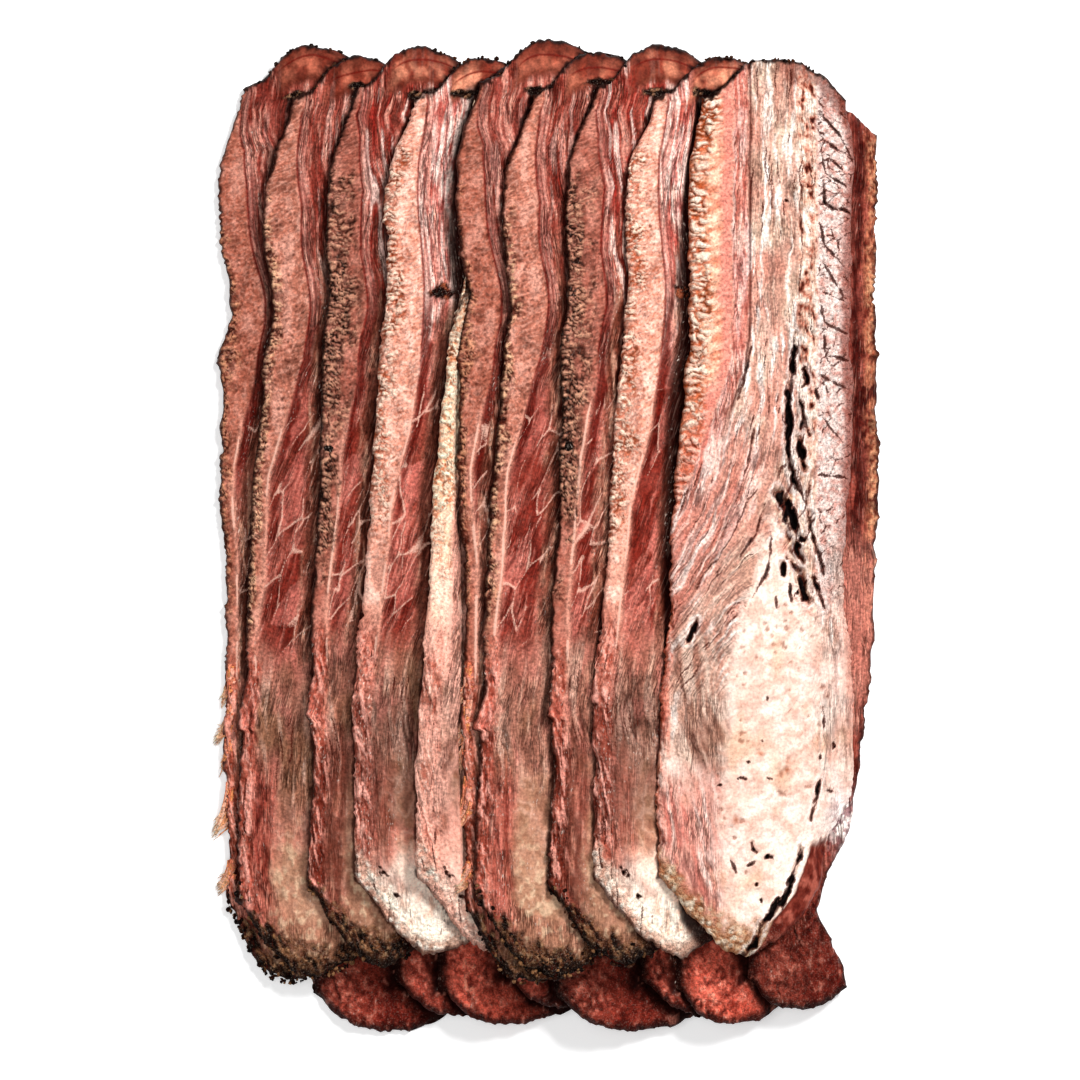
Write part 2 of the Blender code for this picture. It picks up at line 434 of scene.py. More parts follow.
# painted shadow: near black beside the next slice, near the domed ends
SHOULDER_SHADOW = shade(18, 4, 2)
JUICE = shade(84, 22, 12)           # dark red juice in the gaps
LIGHT_PINK = shade(238, 188, 174)   # wet fibres
PALE = shade(250, 228, 214)         # the lips of pits
WHITE = shade(255, 244, 238)
SINEW = shade(222, 168, 150)
TAN = shade(200, 134, 110)          # what every slice starts with
MUSCLE = shade(172, 96, 82)
AMBER = shade(176, 92, 44)          # fat browned at its edge
TAIL = shade(206, 158, 136)         # the smooth meat at the pointed ends
CAP = shade(140, 72, 56)            # the domed ends

print("sinew, linear:", np.round(SINEW, 3))

# %% [markdown]
# ## Ground of a slice
#
# A Ground gathers, for every point of a blank, where it is on its slice in mm: from the left
# edge, from the right edge, from the lower end, and from the domed end. Relief and paint are
# worked out from these. A rounded rim and a ragged outline come first.

# %% Lay a blank on its slice
THICKNESS = 3.0                     # mm
RIM_FLOOR = 0.7                     # mm of wall left under the rounded rim
LEAST_WALL = 0.5                    # mm of meat left under the deepest pit
CLEAR = 2.0                         # mm: as far from a crack or a vein as matters
STRIP_SEED, FACE_SEED, LOBE_SEED = 1000, 3000, 5000     # of the noise, for each kind of slice
SEED_APART = 100                    # from one slice to the next
STORED_AS = {"FLOAT": "value", "FLOAT_VECTOR": "vector", "FLOAT_COLOR": "color"}


def store(mesh, name, kind, numbers):
    """Keep numbers of each point on the mesh, under a name that the material reads."""
    attribute = mesh.attributes.new(name, kind, "POINT")
    attribute.data.foreach_set(STORED_AS[kind], numbers.astype(np.float32).ravel())


def new_piece(name, mesh, material):
    """A smooth object of one material."""
    mesh.materials.clear()
    mesh.materials.append(material)
    mesh.polygons.foreach_set("use_smooth", np.ones(len(mesh.polygons), bool))
    piece = bpy.data.objects.new(name, mesh)
    bpy.context.scene.collection.objects.link(piece)
    return piece


class Ground:
    """The places of a slice's points, and the relief and paint that they gather."""

    def __init__(self, name, kind, seed):
        self.name, self.seed = name, seed
        self.lay = lays[name]
        across, down = BLANKS[kind]
        self.mesh = blanks[kind].data.copy()
        flat = np.empty(len(self.mesh.vertices) * 3, np.float32)
        self.mesh.vertices.foreach_get("co", flat)
        flat = flat.reshape(-1, 3)
        column = np.rint((flat[:, 0] + 1.0) / 2.0 * (len(across) - 1)).astype(int)
        row = np.rint((flat[:, 1] + 1.0) / 2.0 * (len(down) - 1)).astype(int)
        self.on_top = flat[:, 2] > 0.5
        u = across[column]
        self.x, self.y = self.lay.place(u, down[row])
        self.under = self.lay.underside(across, down)[row, column]
        # in mm: a and b from the left and the right edge, e and g from the lower and the domed
        # end, s above the lowest point, q across the fibres, and w across for cracks and pits
        self.a = self.x - self.lay.left(self.y)
        self.b = self.lay.right(self.y) - self.x
        self.e = self.y - self.lay.tip(u)
        self.g = self.lay.top(u) - self.y
        self.s = self.y - self.lay.low
        count = len(flat)
        self.thick = np.full(count, THICKNESS)
        self.relief, self.shift_x, self.shift_y = np.zeros((3, count))
        self.paint = np.tile(TAN, (count, 1))
        self.wet = np.full(count, 0.5)
        self.q = self.w = self.a
        self.fibre, self.crumb = np.zeros((2, count))
        self.crack, self.vein = np.full((2, count), CLEAR)
        self.coarse = np.ones(count)

    def grain(self, across, along, number, octaves=3):
        """Uneven numbers with their own size in mm across and along the slice."""
        return grain(self.x / across, self.y / along, self.seed + number, octaves)

    def ripple(self, across, along, number, octaves=3):
        """The same numbers around 0: from -0.5 to 0.5."""
        return self.grain(across, along, number, octaves) - 0.5

    def cells(self, across, along, number):
        return cells(self.x / across, self.y / along, self.seed + number)

    def blend(self, colour, mask):
        """Paint a colour over what is there, where the mask says."""
        self.paint += (linear(colour) - self.paint) * np.clip(mask, 0.0, 1.0)[:, None]

    def tint(self, colour, mask, value, low, high):
        """Paint a colour where a value rises from low to high, within the mask."""
        self.blend(colour, mask * ramp(value, low, high))

    def tone(self, factor):
        """Make the paint lighter or darker."""
        self.paint *= factor[:, None] if isinstance(factor, np.ndarray) else factor

    def lift(self, height):
        """Raise the surface by this many mm, or lower it."""
        self.relief += height

    def clear_of(self, other):
        """How many mm a place is outside another slice's outline; less than 0 under it."""
        lay = lays[other]
        left = lay.left(self.y)
        share = np.clip((self.x - left) / (lay.right(self.y) - left), 0.0, 1.0)
        beside = np.maximum(left - self.x, self.y - lay.top(share))
        return np.maximum(beside, lay.tip(share) - self.y)

    def rim(self, radius):
        """Round the rim: the thickness falls off near every edge."""
        edge = np.minimum(np.minimum(self.a, self.b), np.minimum(self.e, self.g))
        t = np.clip(edge / radius, 0.0, 1.0)
        self.thick = RIM_FLOOR + (THICKNESS - RIM_FLOOR) * np.sqrt(1.0 - (1.0 - t) ** 2)

    def ragged(self, left, tip, top, right=0.0):
        """Push the outline in and out by about this many mm at its edges and the two ends."""
        along, across, flat = self.y, self.x, self.y * 0.0
        jag = 1.6 * (noise(along / 5.0, flat, self.seed + 1) - 0.5)
        jag += 0.6 * (noise(along / 1.6, flat, self.seed + 2) - 0.5)
        some = ramp(noise(along / 6.0, flat, self.seed + 8), 0.35, 0.7)
        jag += 1.1 * some * (noise(along / 0.75, flat, self.seed + 3) - 0.5)
        self.shift_x -= left * jag * np.exp(-self.a / 1.6)
        self.shift_x += right * jag * np.exp(-self.b / 1.6)
        jag = 1.2 * (noise(across / 3.5, flat, self.seed + 4) - 0.5)
        jag += noise(across / 1.3, flat, self.seed + 5) - 0.5
        jag += 0.8 * (noise(across / 0.6, flat, self.seed + 6) - 0.5)
        self.shift_y -= tip * jag * np.exp(-self.e / 2.2)
        self.shift_y += top * jag * np.exp(-self.g / 1.8)

    def finish(self, material, slot):
        """Move the copied blank's points, store the paint, and hand the piece to the frame."""
        above = np.maximum(self.thick + self.relief, LEAST_WALL)
        z = np.maximum(self.under, 0.0) + np.where(self.on_top, above, 0.0)
        places = np.stack((self.x + self.shift_x, self.y + self.shift_y, z), 1) * MM
        self.mesh.vertices.foreach_set("co", places.astype(np.float32).ravel())
        spot = np.stack((self.q, self.s, np.full(len(self.a), self.seed / 100.0)), 1)
        rgba = np.concatenate((np.clip(self.paint, 0.0, 1.0), np.ones((len(self.a), 1))), 1)
        store(self.mesh, "spot", "FLOAT_VECTOR", spot)
        store(self.mesh, "paint", "FLOAT_COLOR", rgba)
        for name in ("wet", "fibre", "crumb", "coarse"):
            store(self.mesh, name, "FLOAT", np.clip(getattr(self, name), 0.0, 1.0))
        for name in ("crack", "vein"):
            store(self.mesh, name, "FLOAT", np.clip(getattr(self, name), -CLEAR, CLEAR))
        piece = new_piece(f"{self.name}_meat", self.mesh, material)
        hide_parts(self.name)
        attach(piece, "root")


# %% [markdown]
# ## The finish of the meat
#
# Wet meat is a soft, shiny surface. Its colour is the paint stored on each point, broken up by
# fine streaks that follow the fibres and by small specks. Painted highlights lighten the fibres'
# crests and raised grains and add bright glints where the meat is wet, and painted shade blackens
# the bottoms of deep cracks and pits. The gloss is uneven too: wet fibres shine, crumbs don't.
# Streaks and specks also make the finest relief.

# %% Make the meat's material
DEEP = (0.075, 0.010, 0.005, 1.0)   # the gaps between the finest fibres
# painted highlight: on the fibres' crests, on raised grains and in glints
HIGHLIGHT = (1.0, 0.82, 0.70, 1.0)     # their wet crests
# painted shade at the bottom of deep cracks and pits, which are also lowered in the relief
BLACK = (0.003, 0.001, 0.001, 1.0)  # deep cracks and pits
VEIN = (0.86, 0.56, 0.46, 1.0)      # thin sinew
DEPTH = 1.33                        # wet meat is deeper in colour than its paint
SPECKS = 0.38                       # how much they lighten and darken it
RELIEF = 0.50 * MM                  # of the streaks and specks


def meat_material(name, gloss):
    """Principled shader: the stored paint, with fine fibres and fine grains over it."""
    material = bpy.data.materials.new(name)
    material.use_nodes = True
    tree = material.node_tree
    nodes, links = tree.nodes, tree.links
    shader = nodes["Principled BSDF"]

    def stored(name, output="Fac"):
        node = nodes.new("ShaderNodeAttribute")
        node.attribute_name = name
        return node.outputs[output]

    def speckle(scale, detail, where):
        """Noise with its own size across and along: the scale is how many to a mm."""
        stretch = nodes.new("ShaderNodeMapping")
        stretch.inputs["Scale"].default_value = scale
        links.new(where, stretch.inputs["Vector"])
        node = nodes.new("ShaderNodeTexNoise")
        node.inputs["Scale"].default_value = 1.0
        node.inputs["Detail"].default_value = detail
        node.inputs["Distortion"].default_value = 0.3
        links.new(stretch.outputs["Vector"], node.inputs["Vector"])
        return node.outputs["Fac"]

    def spread(source, from_low, from_high, low, high):
        """One range of values as another, held at its ends."""
        node = nodes.new("ShaderNodeMapRange")
        for socket, value in zip(("From Min", "From Max", "To Min", "To Max"),
                                 (from_low, from_high, low, high)):
            node.inputs[socket].default_value = value
        links.new(source, node.inputs["Value"])
        return node.outputs["Result"]

    def maths(operation, one, two=0.0):
        """One sum of the shader. Numbers are set, and outputs of other nodes are linked."""
        node = nodes.new("ShaderNodeMath")
        node.operation = operation
        for socket, value in zip(node.inputs, (one, two)):
            if isinstance(value, float):
                socket.default_value = value
            else:
                links.new(value, socket)
        return node.outputs["Value"]

    def times(one, two):
        return maths("MULTIPLY", one, two)

    def over(under, colour, factor, kind="MIX"):
        """A colour over another one."""
        node = nodes.new("ShaderNodeMix")
        node.data_type = "RGBA"
        node.blend_type = kind
        links.new(factor, node.inputs["Factor"])
        links.new(under, node.inputs["A"])
        if isinstance(colour, tuple):
            node.inputs["B"].default_value = colour
        else:
            links.new(colour, node.inputs["B"])
        return node.outputs["Result"]

    spot, colour = stored("spot", "Vector"), stored("paint", "Color")
    metres = nodes.new("ShaderNodeTexCoord").outputs["Object"]
    wet, fibre, crumb, crack, vein = map(stored, ("wet", "fibre", "crumb", "crack", "vein"))
    fine = speckle((1.75, 0.16, 1.0), 2.0, spot)
    coarse = speckle((0.70, 0.060, 1.0), 2.0, spot)
    speck = speckle((1300.0, 1300.0, 1300.0), 5.0, metres)
    grain_noise = speckle((2400.0, 2400.0, 2400.0), 3.0, metres)

    patch = spread(speckle((0.22, 0.10, 1.0), 2.0, spot), 0.42, 0.60, 0.25, 1.0)
    fibre = times(fibre, patch)

    def gap(source, half):
        """1 where the noise crosses its middle: long lines that split and meet."""
        away = maths("ABSOLUTE", maths("SUBTRACT", source, 0.5))
        return spread(away, 0.2 * half, half, 1.0, 0.0)

    fine_gap, coarse_gap = gap(fine, 0.035), gap(coarse, 0.030)
    crest = spread(fine, 0.55, 0.63, 0.0, 1.0)
    gaps = maths("MAXIMUM", times(fine_gap, 0.50), times(coarse_gap, 0.70))
    # painted highlights: bright glints where the meat is wet
    glint = spread(speckle((2.2, 0.8, 1.0), 2.0, spot), 0.60, 0.70, 0.0, 1.0)
    glint = times(glint, spread(wet, 0.55, 0.95, 0.0, 0.65))
    grit_dark = spread(grain_noise, 0.36, 0.47, 1.0, 0.0)
    grit_light = spread(grain_noise, 0.54, 0.66, 0.0, 1.0)

    level = spread(speck, 0.3, 0.7, 1.0 - SPECKS, 1.0 + SPECKS)
    colour = over(colour, level, stored("coarse"), "MULTIPLY")
    # painted highlight on the fibres' crests
    colour = over(colour, HIGHLIGHT, times(fibre, times(crest, 0.42)), "SOFT_LIGHT")
    colour = over(colour, HIGHLIGHT, times(fibre, times(crest, 0.14)))
    colour = over(colour, DEEP, times(fibre, gaps))
    colour = over(colour, DEEP, times(crumb, times(grit_dark, 0.7)))
    colour = over(colour, HIGHLIGHT, times(crumb, times(grit_light, 0.35)))
    vein = maths("ADD", vein, spread(grain_noise, 0.3, 0.7, -0.10, 0.10))
    colour = over(colour, VEIN, spread(vein, -0.10, 0.12, 0.85, 0.0))
    deeper = nodes.new("ShaderNodeGamma")
    deeper.inputs["Gamma"].default_value = DEPTH
    links.new(colour, deeper.inputs["Color"])
    colour = over(deeper.outputs["Color"], HIGHLIGHT, glint)
    # dark edges of cracks, and painted black shade deep inside them
    crack = maths("ADD", crack, spread(grain_noise, 0.3, 0.7, -0.14, 0.14))
    colour = over(colour, DEEP, spread(crack, 0.0, 0.16, 0.9, 0.0))
    colour = over(colour, BLACK, spread(crack, -0.40, -0.15, 1.0, 0.0))
    links.new(colour, shader.inputs["Base Color"])

    dry = spread(wet, 0.0, 1.0, 0.72, 0.28)
    uneven = spread(speck, 0.3, 0.7, -0.06, 0.12)
    links.new(maths("ADD", dry, uneven), shader.inputs["Roughness"])

    height = times(fibre, maths("SUBTRACT", times(crest, 0.5), gaps))
    height = maths("ADD", height, times(crumb, maths("SUBTRACT", grit_light, grit_dark)))
    height = maths("ADD", height, times(speck, 0.5))
    bump = nodes.new("ShaderNodeBump")
    bump.inputs["Strength"].default_value = 1.0
    bump.inputs["Distance"].default_value = RELIEF
    links.new(height, bump.inputs["Height"])
    links.new(bump.outputs["Normal"], shader.inputs["Normal"])

    shader.inputs["Specular IOR Level"].default_value = gloss
    print("material", name, "has", len(nodes), "nodes")
    return material


upper_meat = meat_material("pastrami_face", 0.04)
lower_meat = meat_material("pastrami_under", 0.05)

# %% [markdown]
# ## What brisket is made of
#
# A slice across the grain of a brisket shows a few kinds of tissue, and each is drawn by its own
# function: fibres, a margin of outer meat with curly crumbs of fat, bundles of muscle with pale
# sinew between them, wrinkles, torn red meat, and the spiced crust. Each function changes both
# the relief and the paint, so that what looks like a groove is one. Where they raise the meat
# they mostly paint it lighter, and where they lower it darker, which is partly painted highlight
# and painted shade.

# %% Fibres
def fibres(q, t, seed, width, length):
    """Dark gaps between fibres, and the light crests beside them. Fibres run along t."""
    q = q + width * 1.2 * (grain(q / (5.0 * width), t / (1.2 * length), seed + 7, 2) - 0.5)
    body = grain(q / width, t / length, seed, 2) - 0.5
    return below(np.abs(body), 0.02, 0.12), ramp(body, 0.08, 0.26)


def lay_fibres(ground, where, q, light, dark, number=31, width=1.0, crack=0.5, height=1.0):
    """Rounded fibres side by side, their raised backs painted light as a highlight; a few are
    parted by dark cracks.
    """
    seed = ground.seed + number
    wave = ground.ripple(4.0 * width, 9.0 * width, number + 1, 2)
    across = q / width + 2.4 * wave
    strand = grain(across, ground.s / (9.0 * width), seed, 3) - 0.5
    bundle = grain(across / 2.7, ground.s / (20.0 * width), seed + 2, 2) - 0.5
    body = strand + 0.7 * bundle
    ground.tint(light, where * 0.85, body, 0.0, 0.26)
    ground.tint(dark, where * 0.55, -body, 0.0, 0.28)
    there = ramp(grain(across / 2.2, ground.s / (10.0 * width), seed + 4, 2), 0.50, 0.60)
    line = below(np.abs(strand), 0.02, 0.10) * there
    ground.blend(linear(dark) * 0.35, where * crack * line)
    ground.lift(where * height * (0.9 * body - 0.4 * crack * line))
    ground.wet += where * 0.35 * ramp(body, 0.1, 0.3)
    ground.fibre = np.maximum(ground.fibre, where)


# %% Fat in curly crumbs
def lay_curls(ground, where, size, light, dark, number=41, height=1.0):
    """Frilly fat: light lobes that point to the edge, with dark lines between them: browned fat and
    painted shade in the hollows.
    """
    bend_x = ground.ripple(1.8 * size, 1.8 * size, number + 2, 3)
    bend_y = ground.ripple(1.8 * size, 1.8 * size, number + 3, 3)
    first, second, share = cells(ground.x / (3.4 * size) + 1.5 * bend_x,
                                 ground.y / (1.1 * size) + 2.0 * bend_y, ground.seed + number)
    border = second - first
    patch = ground.grain(3.0 * size, 3.6 * size, number + 4, 2)
    ground.blend(light, where * ramp(border, 0.10, 0.45) * (0.45 + 0.55 * share))
    ground.blend(dark, where * below(border, 0.06, 0.30) * (0.35 + 0.65 * ramp(patch, 0.3, 0.6)))
    ground.tint(linear(dark) * 0.35, where * 0.8 * below(border, 0.02, 0.16), patch, 0.50, 0.62)
    ground.lift(where * height * (1.2 * ramp(border, 0.0, 0.6) - 0.6))
    ground.wet += where * 0.1
    ground.crumb = np.maximum(ground.crumb, 0.2 * where)
    ground.fibre *= 1.0 - where


def lay_hairs(ground, where, light, dark, number=47):
    """Fine curved lines that run from the seam out to the edge, lighter and darker in turn."""
    bend = ground.ripple(3.0, 3.0, number + 1, 2)
    across = (ground.a + 0.3 * ground.s) / 2.6 + bend
    along = (ground.s - 0.3 * ground.a) / 0.85 + 2.0 * bend
    hair = ridges(across, along, ground.seed + number, 2)
    ground.tint(light, where * 0.40, hair, 0.55, 0.95)
    ground.tint(dark, where * 0.28, 0.22 - hair, 0.0, 0.22)
    ground.lift(where * 0.35 * (hair - 0.5))


# %% Lines that split and meet
def contour(x, y, seed, spacing):
    """Distance in mm, across the fibres, to the lines where noise crosses its middle."""
    field = noise(x / spacing, y, seed)
    slope = np.abs(noise(x / spacing + 0.06, y, seed) - field) / (0.06 * spacing)
    flat = below(slope * spacing, 0.18, 0.45)
    return np.abs(field - 0.5) / np.maximum(slope, 0.22 / spacing) + 2.0 * flat


# %% Bundles of muscle
def lay_bundles(ground, where, q, number=51):
    """Long lenses of muscle, some redder, in a net of thin pale sinew."""
    slope = q + 2.4 * ground.ripple(4.0, 8.0, number, 3)
    slant = ground.s - 0.9 * q + 4.0 * ground.ripple(5.0, 6.0, number + 9, 2)
    first, second, share = cells(slope / 5.2, slant / 13.0, ground.seed + number + 2)
    ground.tint((214, 136, 124), where * 0.75, share, 0.5, 0.8)
    ground.tint((148, 58, 46), where * 0.7, 0.45 - share, 0.0, 0.2)
    net = 3.6 * (second - first)
    there = where * ramp(ground.grain(7.0, 12.0, number + 7, 2), 0.36, 0.50)
    ground.blend((116, 38, 28), 0.45 * there * hill(net, 0.8, 0.4))
    ground.vein = np.minimum(ground.vein, net + 1.4 * (1.0 - there) - 0.16)
    ground.lift(there * (0.25 * hill(net, 0.0, 0.4) - 0.3 * hill(net, 0.8, 0.4)))
    for family, wide in enumerate((4.2, 3.0)):
        line = contour(slope + 0.08 * family * ground.s, ground.s / (6.5 * wide),
                       ground.seed + number + 3 + family, wide)
        there = where * ramp(ground.grain(5.0, 14.0, number + 10 + family, 2), 0.44, 0.58)
        ground.vein = np.minimum(ground.vein, line + 1.2 * (1.0 - there) - 0.06)
        ground.blend((116, 38, 28), 0.45 * there * hill(line, 0.5, 0.25))


def lay_grooves(ground, where, q, spacing, number=101, depth=0.10):
    """Crisp dark lines between fibres that split and meet."""
    across = q + 1.5 * spacing * ground.ripple(2.5 * spacing, 5.0 * spacing, number, 2)
    for family in range(2):
        line = contour(across + 0.4 * family * spacing, ground.s / (7.0 * spacing),
                       ground.seed + number + 1 + family, spacing)
        patch = ground.grain(2.0 * spacing, 6.0 * spacing, number + 5 + family, 2)
        there = where * ramp(patch, 0.40, 0.56)
        ground.crack = np.minimum(ground.crack, line + 1.2 * (1.0 - there) - depth)
        ground.lift(-0.35 * there * below(line, 0.0, 0.45))


# %% Wrinkles, torn meat and crumbs
def lay_wrinkles(ground, where, q, light, dark, number=61):
    """Short, thick, wavy ridges."""
    lay_fibres(ground, where, q + 0.8 * np.sin(ground.s / 5.0), light, dark, number, 1.35, 0.8, 1.1)


def lay_torn(ground, where, light, dark, number=66):
    """A torn edge: soft strands along it, split by dark cracks, with small raised grains painted
    light pink partly as highlights.
    """
    lay_fibres(ground, where, 0.9 * ground.a + 0.10 * ground.s, light, dark, number, 0.95, 0.9, 1.2)
    grit = ground.grain(0.8, 1.3, number + 1, 3)
    ground.tint(LIGHT_PINK, where * 0.55, grit, 0.56, 0.72)
    ground.tint(linear(dark) * 0.6, where * 0.6, 0.44 - grit, 0.0, 0.12)
    ground.lift(where * 1.1 * (grit - 0.5))
    ground.wet += where * 0.15
    ground.fibre *= 1.0 - 0.5 * where


def lay_crumbs(ground, where, size, colours, number=81):
    """Grains of crust or of crumbling fat: each grain has one of three colours."""
    first, _, share = ground.cells(size * 1.2, size, number)
    uneven = ground.grain(1.7, 1.7, number + 3, 3)
    crumb = np.clip(1.3 - 1.4 * first, 0.0, 1.0) * (0.4 + 1.2 * uneven)
    tint = share + 1.4 * (uneven - 0.5)
    low, middle, high = colours
    ground.blend(low, where)
    ground.tint(middle, where * ramp(tint, 0.35, 0.60), crumb, 0.15, 0.6)
    ground.tint(high, where * ramp(tint, 0.72, 0.92), crumb, 0.25, 0.6)
    ground.lift(where * (1.4 * crumb - 0.6))
    ground.wet -= where * 0.2
    ground.crumb = np.maximum(ground.crumb, 0.7 * where)
    ground.fibre *= 1.0 - where


def lay_ring(ground, colour):
    """The thin crust around the domed end. It returns how uneven it is, for the other edges."""
    uneven = ground.ripple(1.3, 1.3, 87, 2)
    ring = below(ground.g + 2.4 * uneven, 0.3, 1.8)
    ground.blend(colour, 0.95 * ring)
    ground.lift(0.8 * ring * uneven)
    return uneven


def lay_pit(ground, x, s, across, along, depth=1.6):
    """One pit with a raised lip. x and s are mm from the left edge and the lower end."""
    wobble = 2.2 * ground.ripple(0.8, 0.8, 91, 2)
    away = np.hypot((ground.w - x) / across, (ground.s - s) / along) + wobble
    ground.crack = np.minimum(ground.crack, (away - 1.0) * min(across, along))
    lip = hill(away, 1.55, 0.35)
    ground.blend(PALE, 0.40 * lip)
    ground.lift(0.25 * lip - depth * below(away, 0.7, 1.15))


# %% [markdown]
# ## The nine slices that show a strip
#
# The two handfuls are alike: the slices of the second repeat those of the first, so five sets of
# sizes do for all. The seam parts the margin from the fibres. Its distance from the left edge is
# given at a few heights above the lower end.

# %% Sizes of the five kinds of strip
SEAMS = (                           # heights in mm, then the seam's distances in mm
    ((0, 60, 89, 117, 136, 150, 162, 176, 190, 215, 223, 228, 234),
     (2.5, 3.0, 3.4, 3.6, 3.6, 5.6, 8.7, 9.6, 8.3, 7.1, 6.0, 3.0, 1.0)),
    ((0, 60, 87, 96, 104, 124, 134, 149, 165, 190, 206, 214, 223, 230, 238),
     (3.0, 3.0, 3.0, 3.4, 4.2, 4.5, 4.2, 6.5, 10.4, 10.2, 9.9, 8.0, 5.3, 3.2, 3.6)),
    ((0, 60, 110, 123, 135, 146, 157, 175, 190, 207, 213, 221, 227, 240),
     (3.5, 4.0, 5.0, 5.3, 5.6, 7.0, 9.6, 11.0, 9.4, 10.0, 8.2, 5.3, 2.1, 1.5)),
    ((0, 60, 100, 120, 140, 160, 190, 209, 217, 225, 235),
     (4.5, 5.0, 5.0, 6.0, 9.5, 10.6, 9.4, 8.5, 6.8, 4.3, 3.0)),
    ((0, 60, 100, 125, 137, 147, 155, 165, 240),
     (7.0, 7.0, 6.0, 6.5, 8.0, 8.5, 9.5, 10.7, 10.7)),
)
COLOURS = {                         # of the five kinds, as a screen shows them
    # the fifth kind's light colours are near white, partly as painted light against the next
    # slice's shadow
    "margin": ((186, 122, 103), (197, 136, 117), (177, 114, 98), (226, 172, 154), (255, 226, 200)),
    "hair": ((220, 168, 152), (230, 182, 166), (212, 156, 140), (250, 220, 206), (255, 240, 222)),
    "curl_light": ((232, 176, 142), (246, 204, 170), (224, 178, 152), (255, 232, 212),
                   (255, 238, 216)),
    "curl_dark": ((112, 50, 32), (104, 48, 32), (62, 30, 18), (186, 104, 68), (226, 150, 108)),
    "torn_light": ((228, 152, 130), (232, 160, 142), (228, 152, 132), (236, 168, 150),
                   (244, 188, 168)),
    "torn_dark": ((180, 90, 68), (182, 90, 70), (172, 80, 60), (188, 96, 76), (206, 116, 94)),
    "meat": ((172, 96, 84), (176, 100, 86), (176, 96, 82), (238, 184, 172), (242, 196, 180)),
}
MEASURES = {                        # in mm
    "curl_width": (2.2, 3.0, 8.0, 5.0, 5.6),
    "curl_from": (96.0, 88.0, 112.0, 118.0, 100.0),
    "curl_to": (200.0, 204.0, 208.0, 214.0, 226.0),
    "torn": (3.6, 4.2, 4.4, 5.4, 6.6),          # how wide the torn edge is
    "damp": (1.5, 1.5, 1.5, 1.3, 0.3),          # how wide the shade of the next slice is
    "rise": (0.3, 0.3, 0.5, 0.0, 0.0),          # how far the domed end bulges
    "raised": (0.0, 0.0, 0.0, 0.0, 3.4),        # how much higher the strip is
}
AMOUNTS = {                         # none is 0 and full is 1
    "lump": (1.0, 0.0, 0.0, 0.0, 0.0),
    # shine: how strong the painted highlights on the upper fibres and on the domed end are
    "shine": (0.2, 0.3, 0.8, 1.0, 0.0),
    # tone: painted light and shade, each slice lighter or darker as a whole
    "tone": (0.96, 1.0, 1.0, 1.06, 1.10),
    "crust": (1.0, 1.0, 1.0, 0.1, 0.0),
    "flap": (0.3, 1.0, 0.8, 0.0, 0.0),
    "stripes": (0.1, 0.15, 1.0, 0.3, 0.0),
    "tail": (0.98, 1.0, 0.82, 1.16, 1.20),      # how light the smooth meat is
    "reds": (1.0, 1.0, 0.3, 0.5, 0.2),
    "gap": (0.0, 0.0, 0.0, 1.0, 0.0),
}
STRIPS = []
for n, seam in enumerate(SEAMS):
    looks = {name: shade(*colours[n]) for name, colours in COLOURS.items()}
    looks.update({name: values[n] for name, values in (MEASURES | AMOUNTS).items()})
    STRIPS.append(SimpleNamespace(seam=seam, **looks))
HANDFUL = len(STRIPS)
FOURTH = 3                          # the gap lies at its edge
TAIL_PITS = ((8.0, 22.9, 0.7), (9.0, 22.0, 0.55), (7.2, 24.2, 0.35), (11.6, 16.6, 0.6))
PALE_TAIL = 1.1                     # the fourth's and the fifth's tails are lighter
PALEST_TAIL = 1.18                  # and only the fifth's lighter than this
GAP = ((2, 6, 10, 12.5, 16, 80, 88, 98, 112, 126,       # mm above the pointed end
        140, 154, 166, 174, 179, 185, 191, 205, 222, 236),
       (9.0, 8.0, 6.0, 3.0, 0.0, 0.0, 1.4, 2.9, 3.5, 3.9,       # its width there
        5.6, 5.9, 3.8, 4.2, 5.4, 4.4, 3.5, 1.3, 1.3, 0.5))
DRAWN_BACK = (162.0, 180.0)         # mm: above here the fifth slice hides behind the sixth
FLAP_LOW, FLAP_HIGH, FLAP_OUT = 65.5, 78.0, 2.0        # mm: from, to, and how far it stands out
RUN = ((0.0, 62.0, 84.0, 150.0, 166.0), (0.0, 0.0, 3.0, 19.0, 20.0))     # how the fibres lean

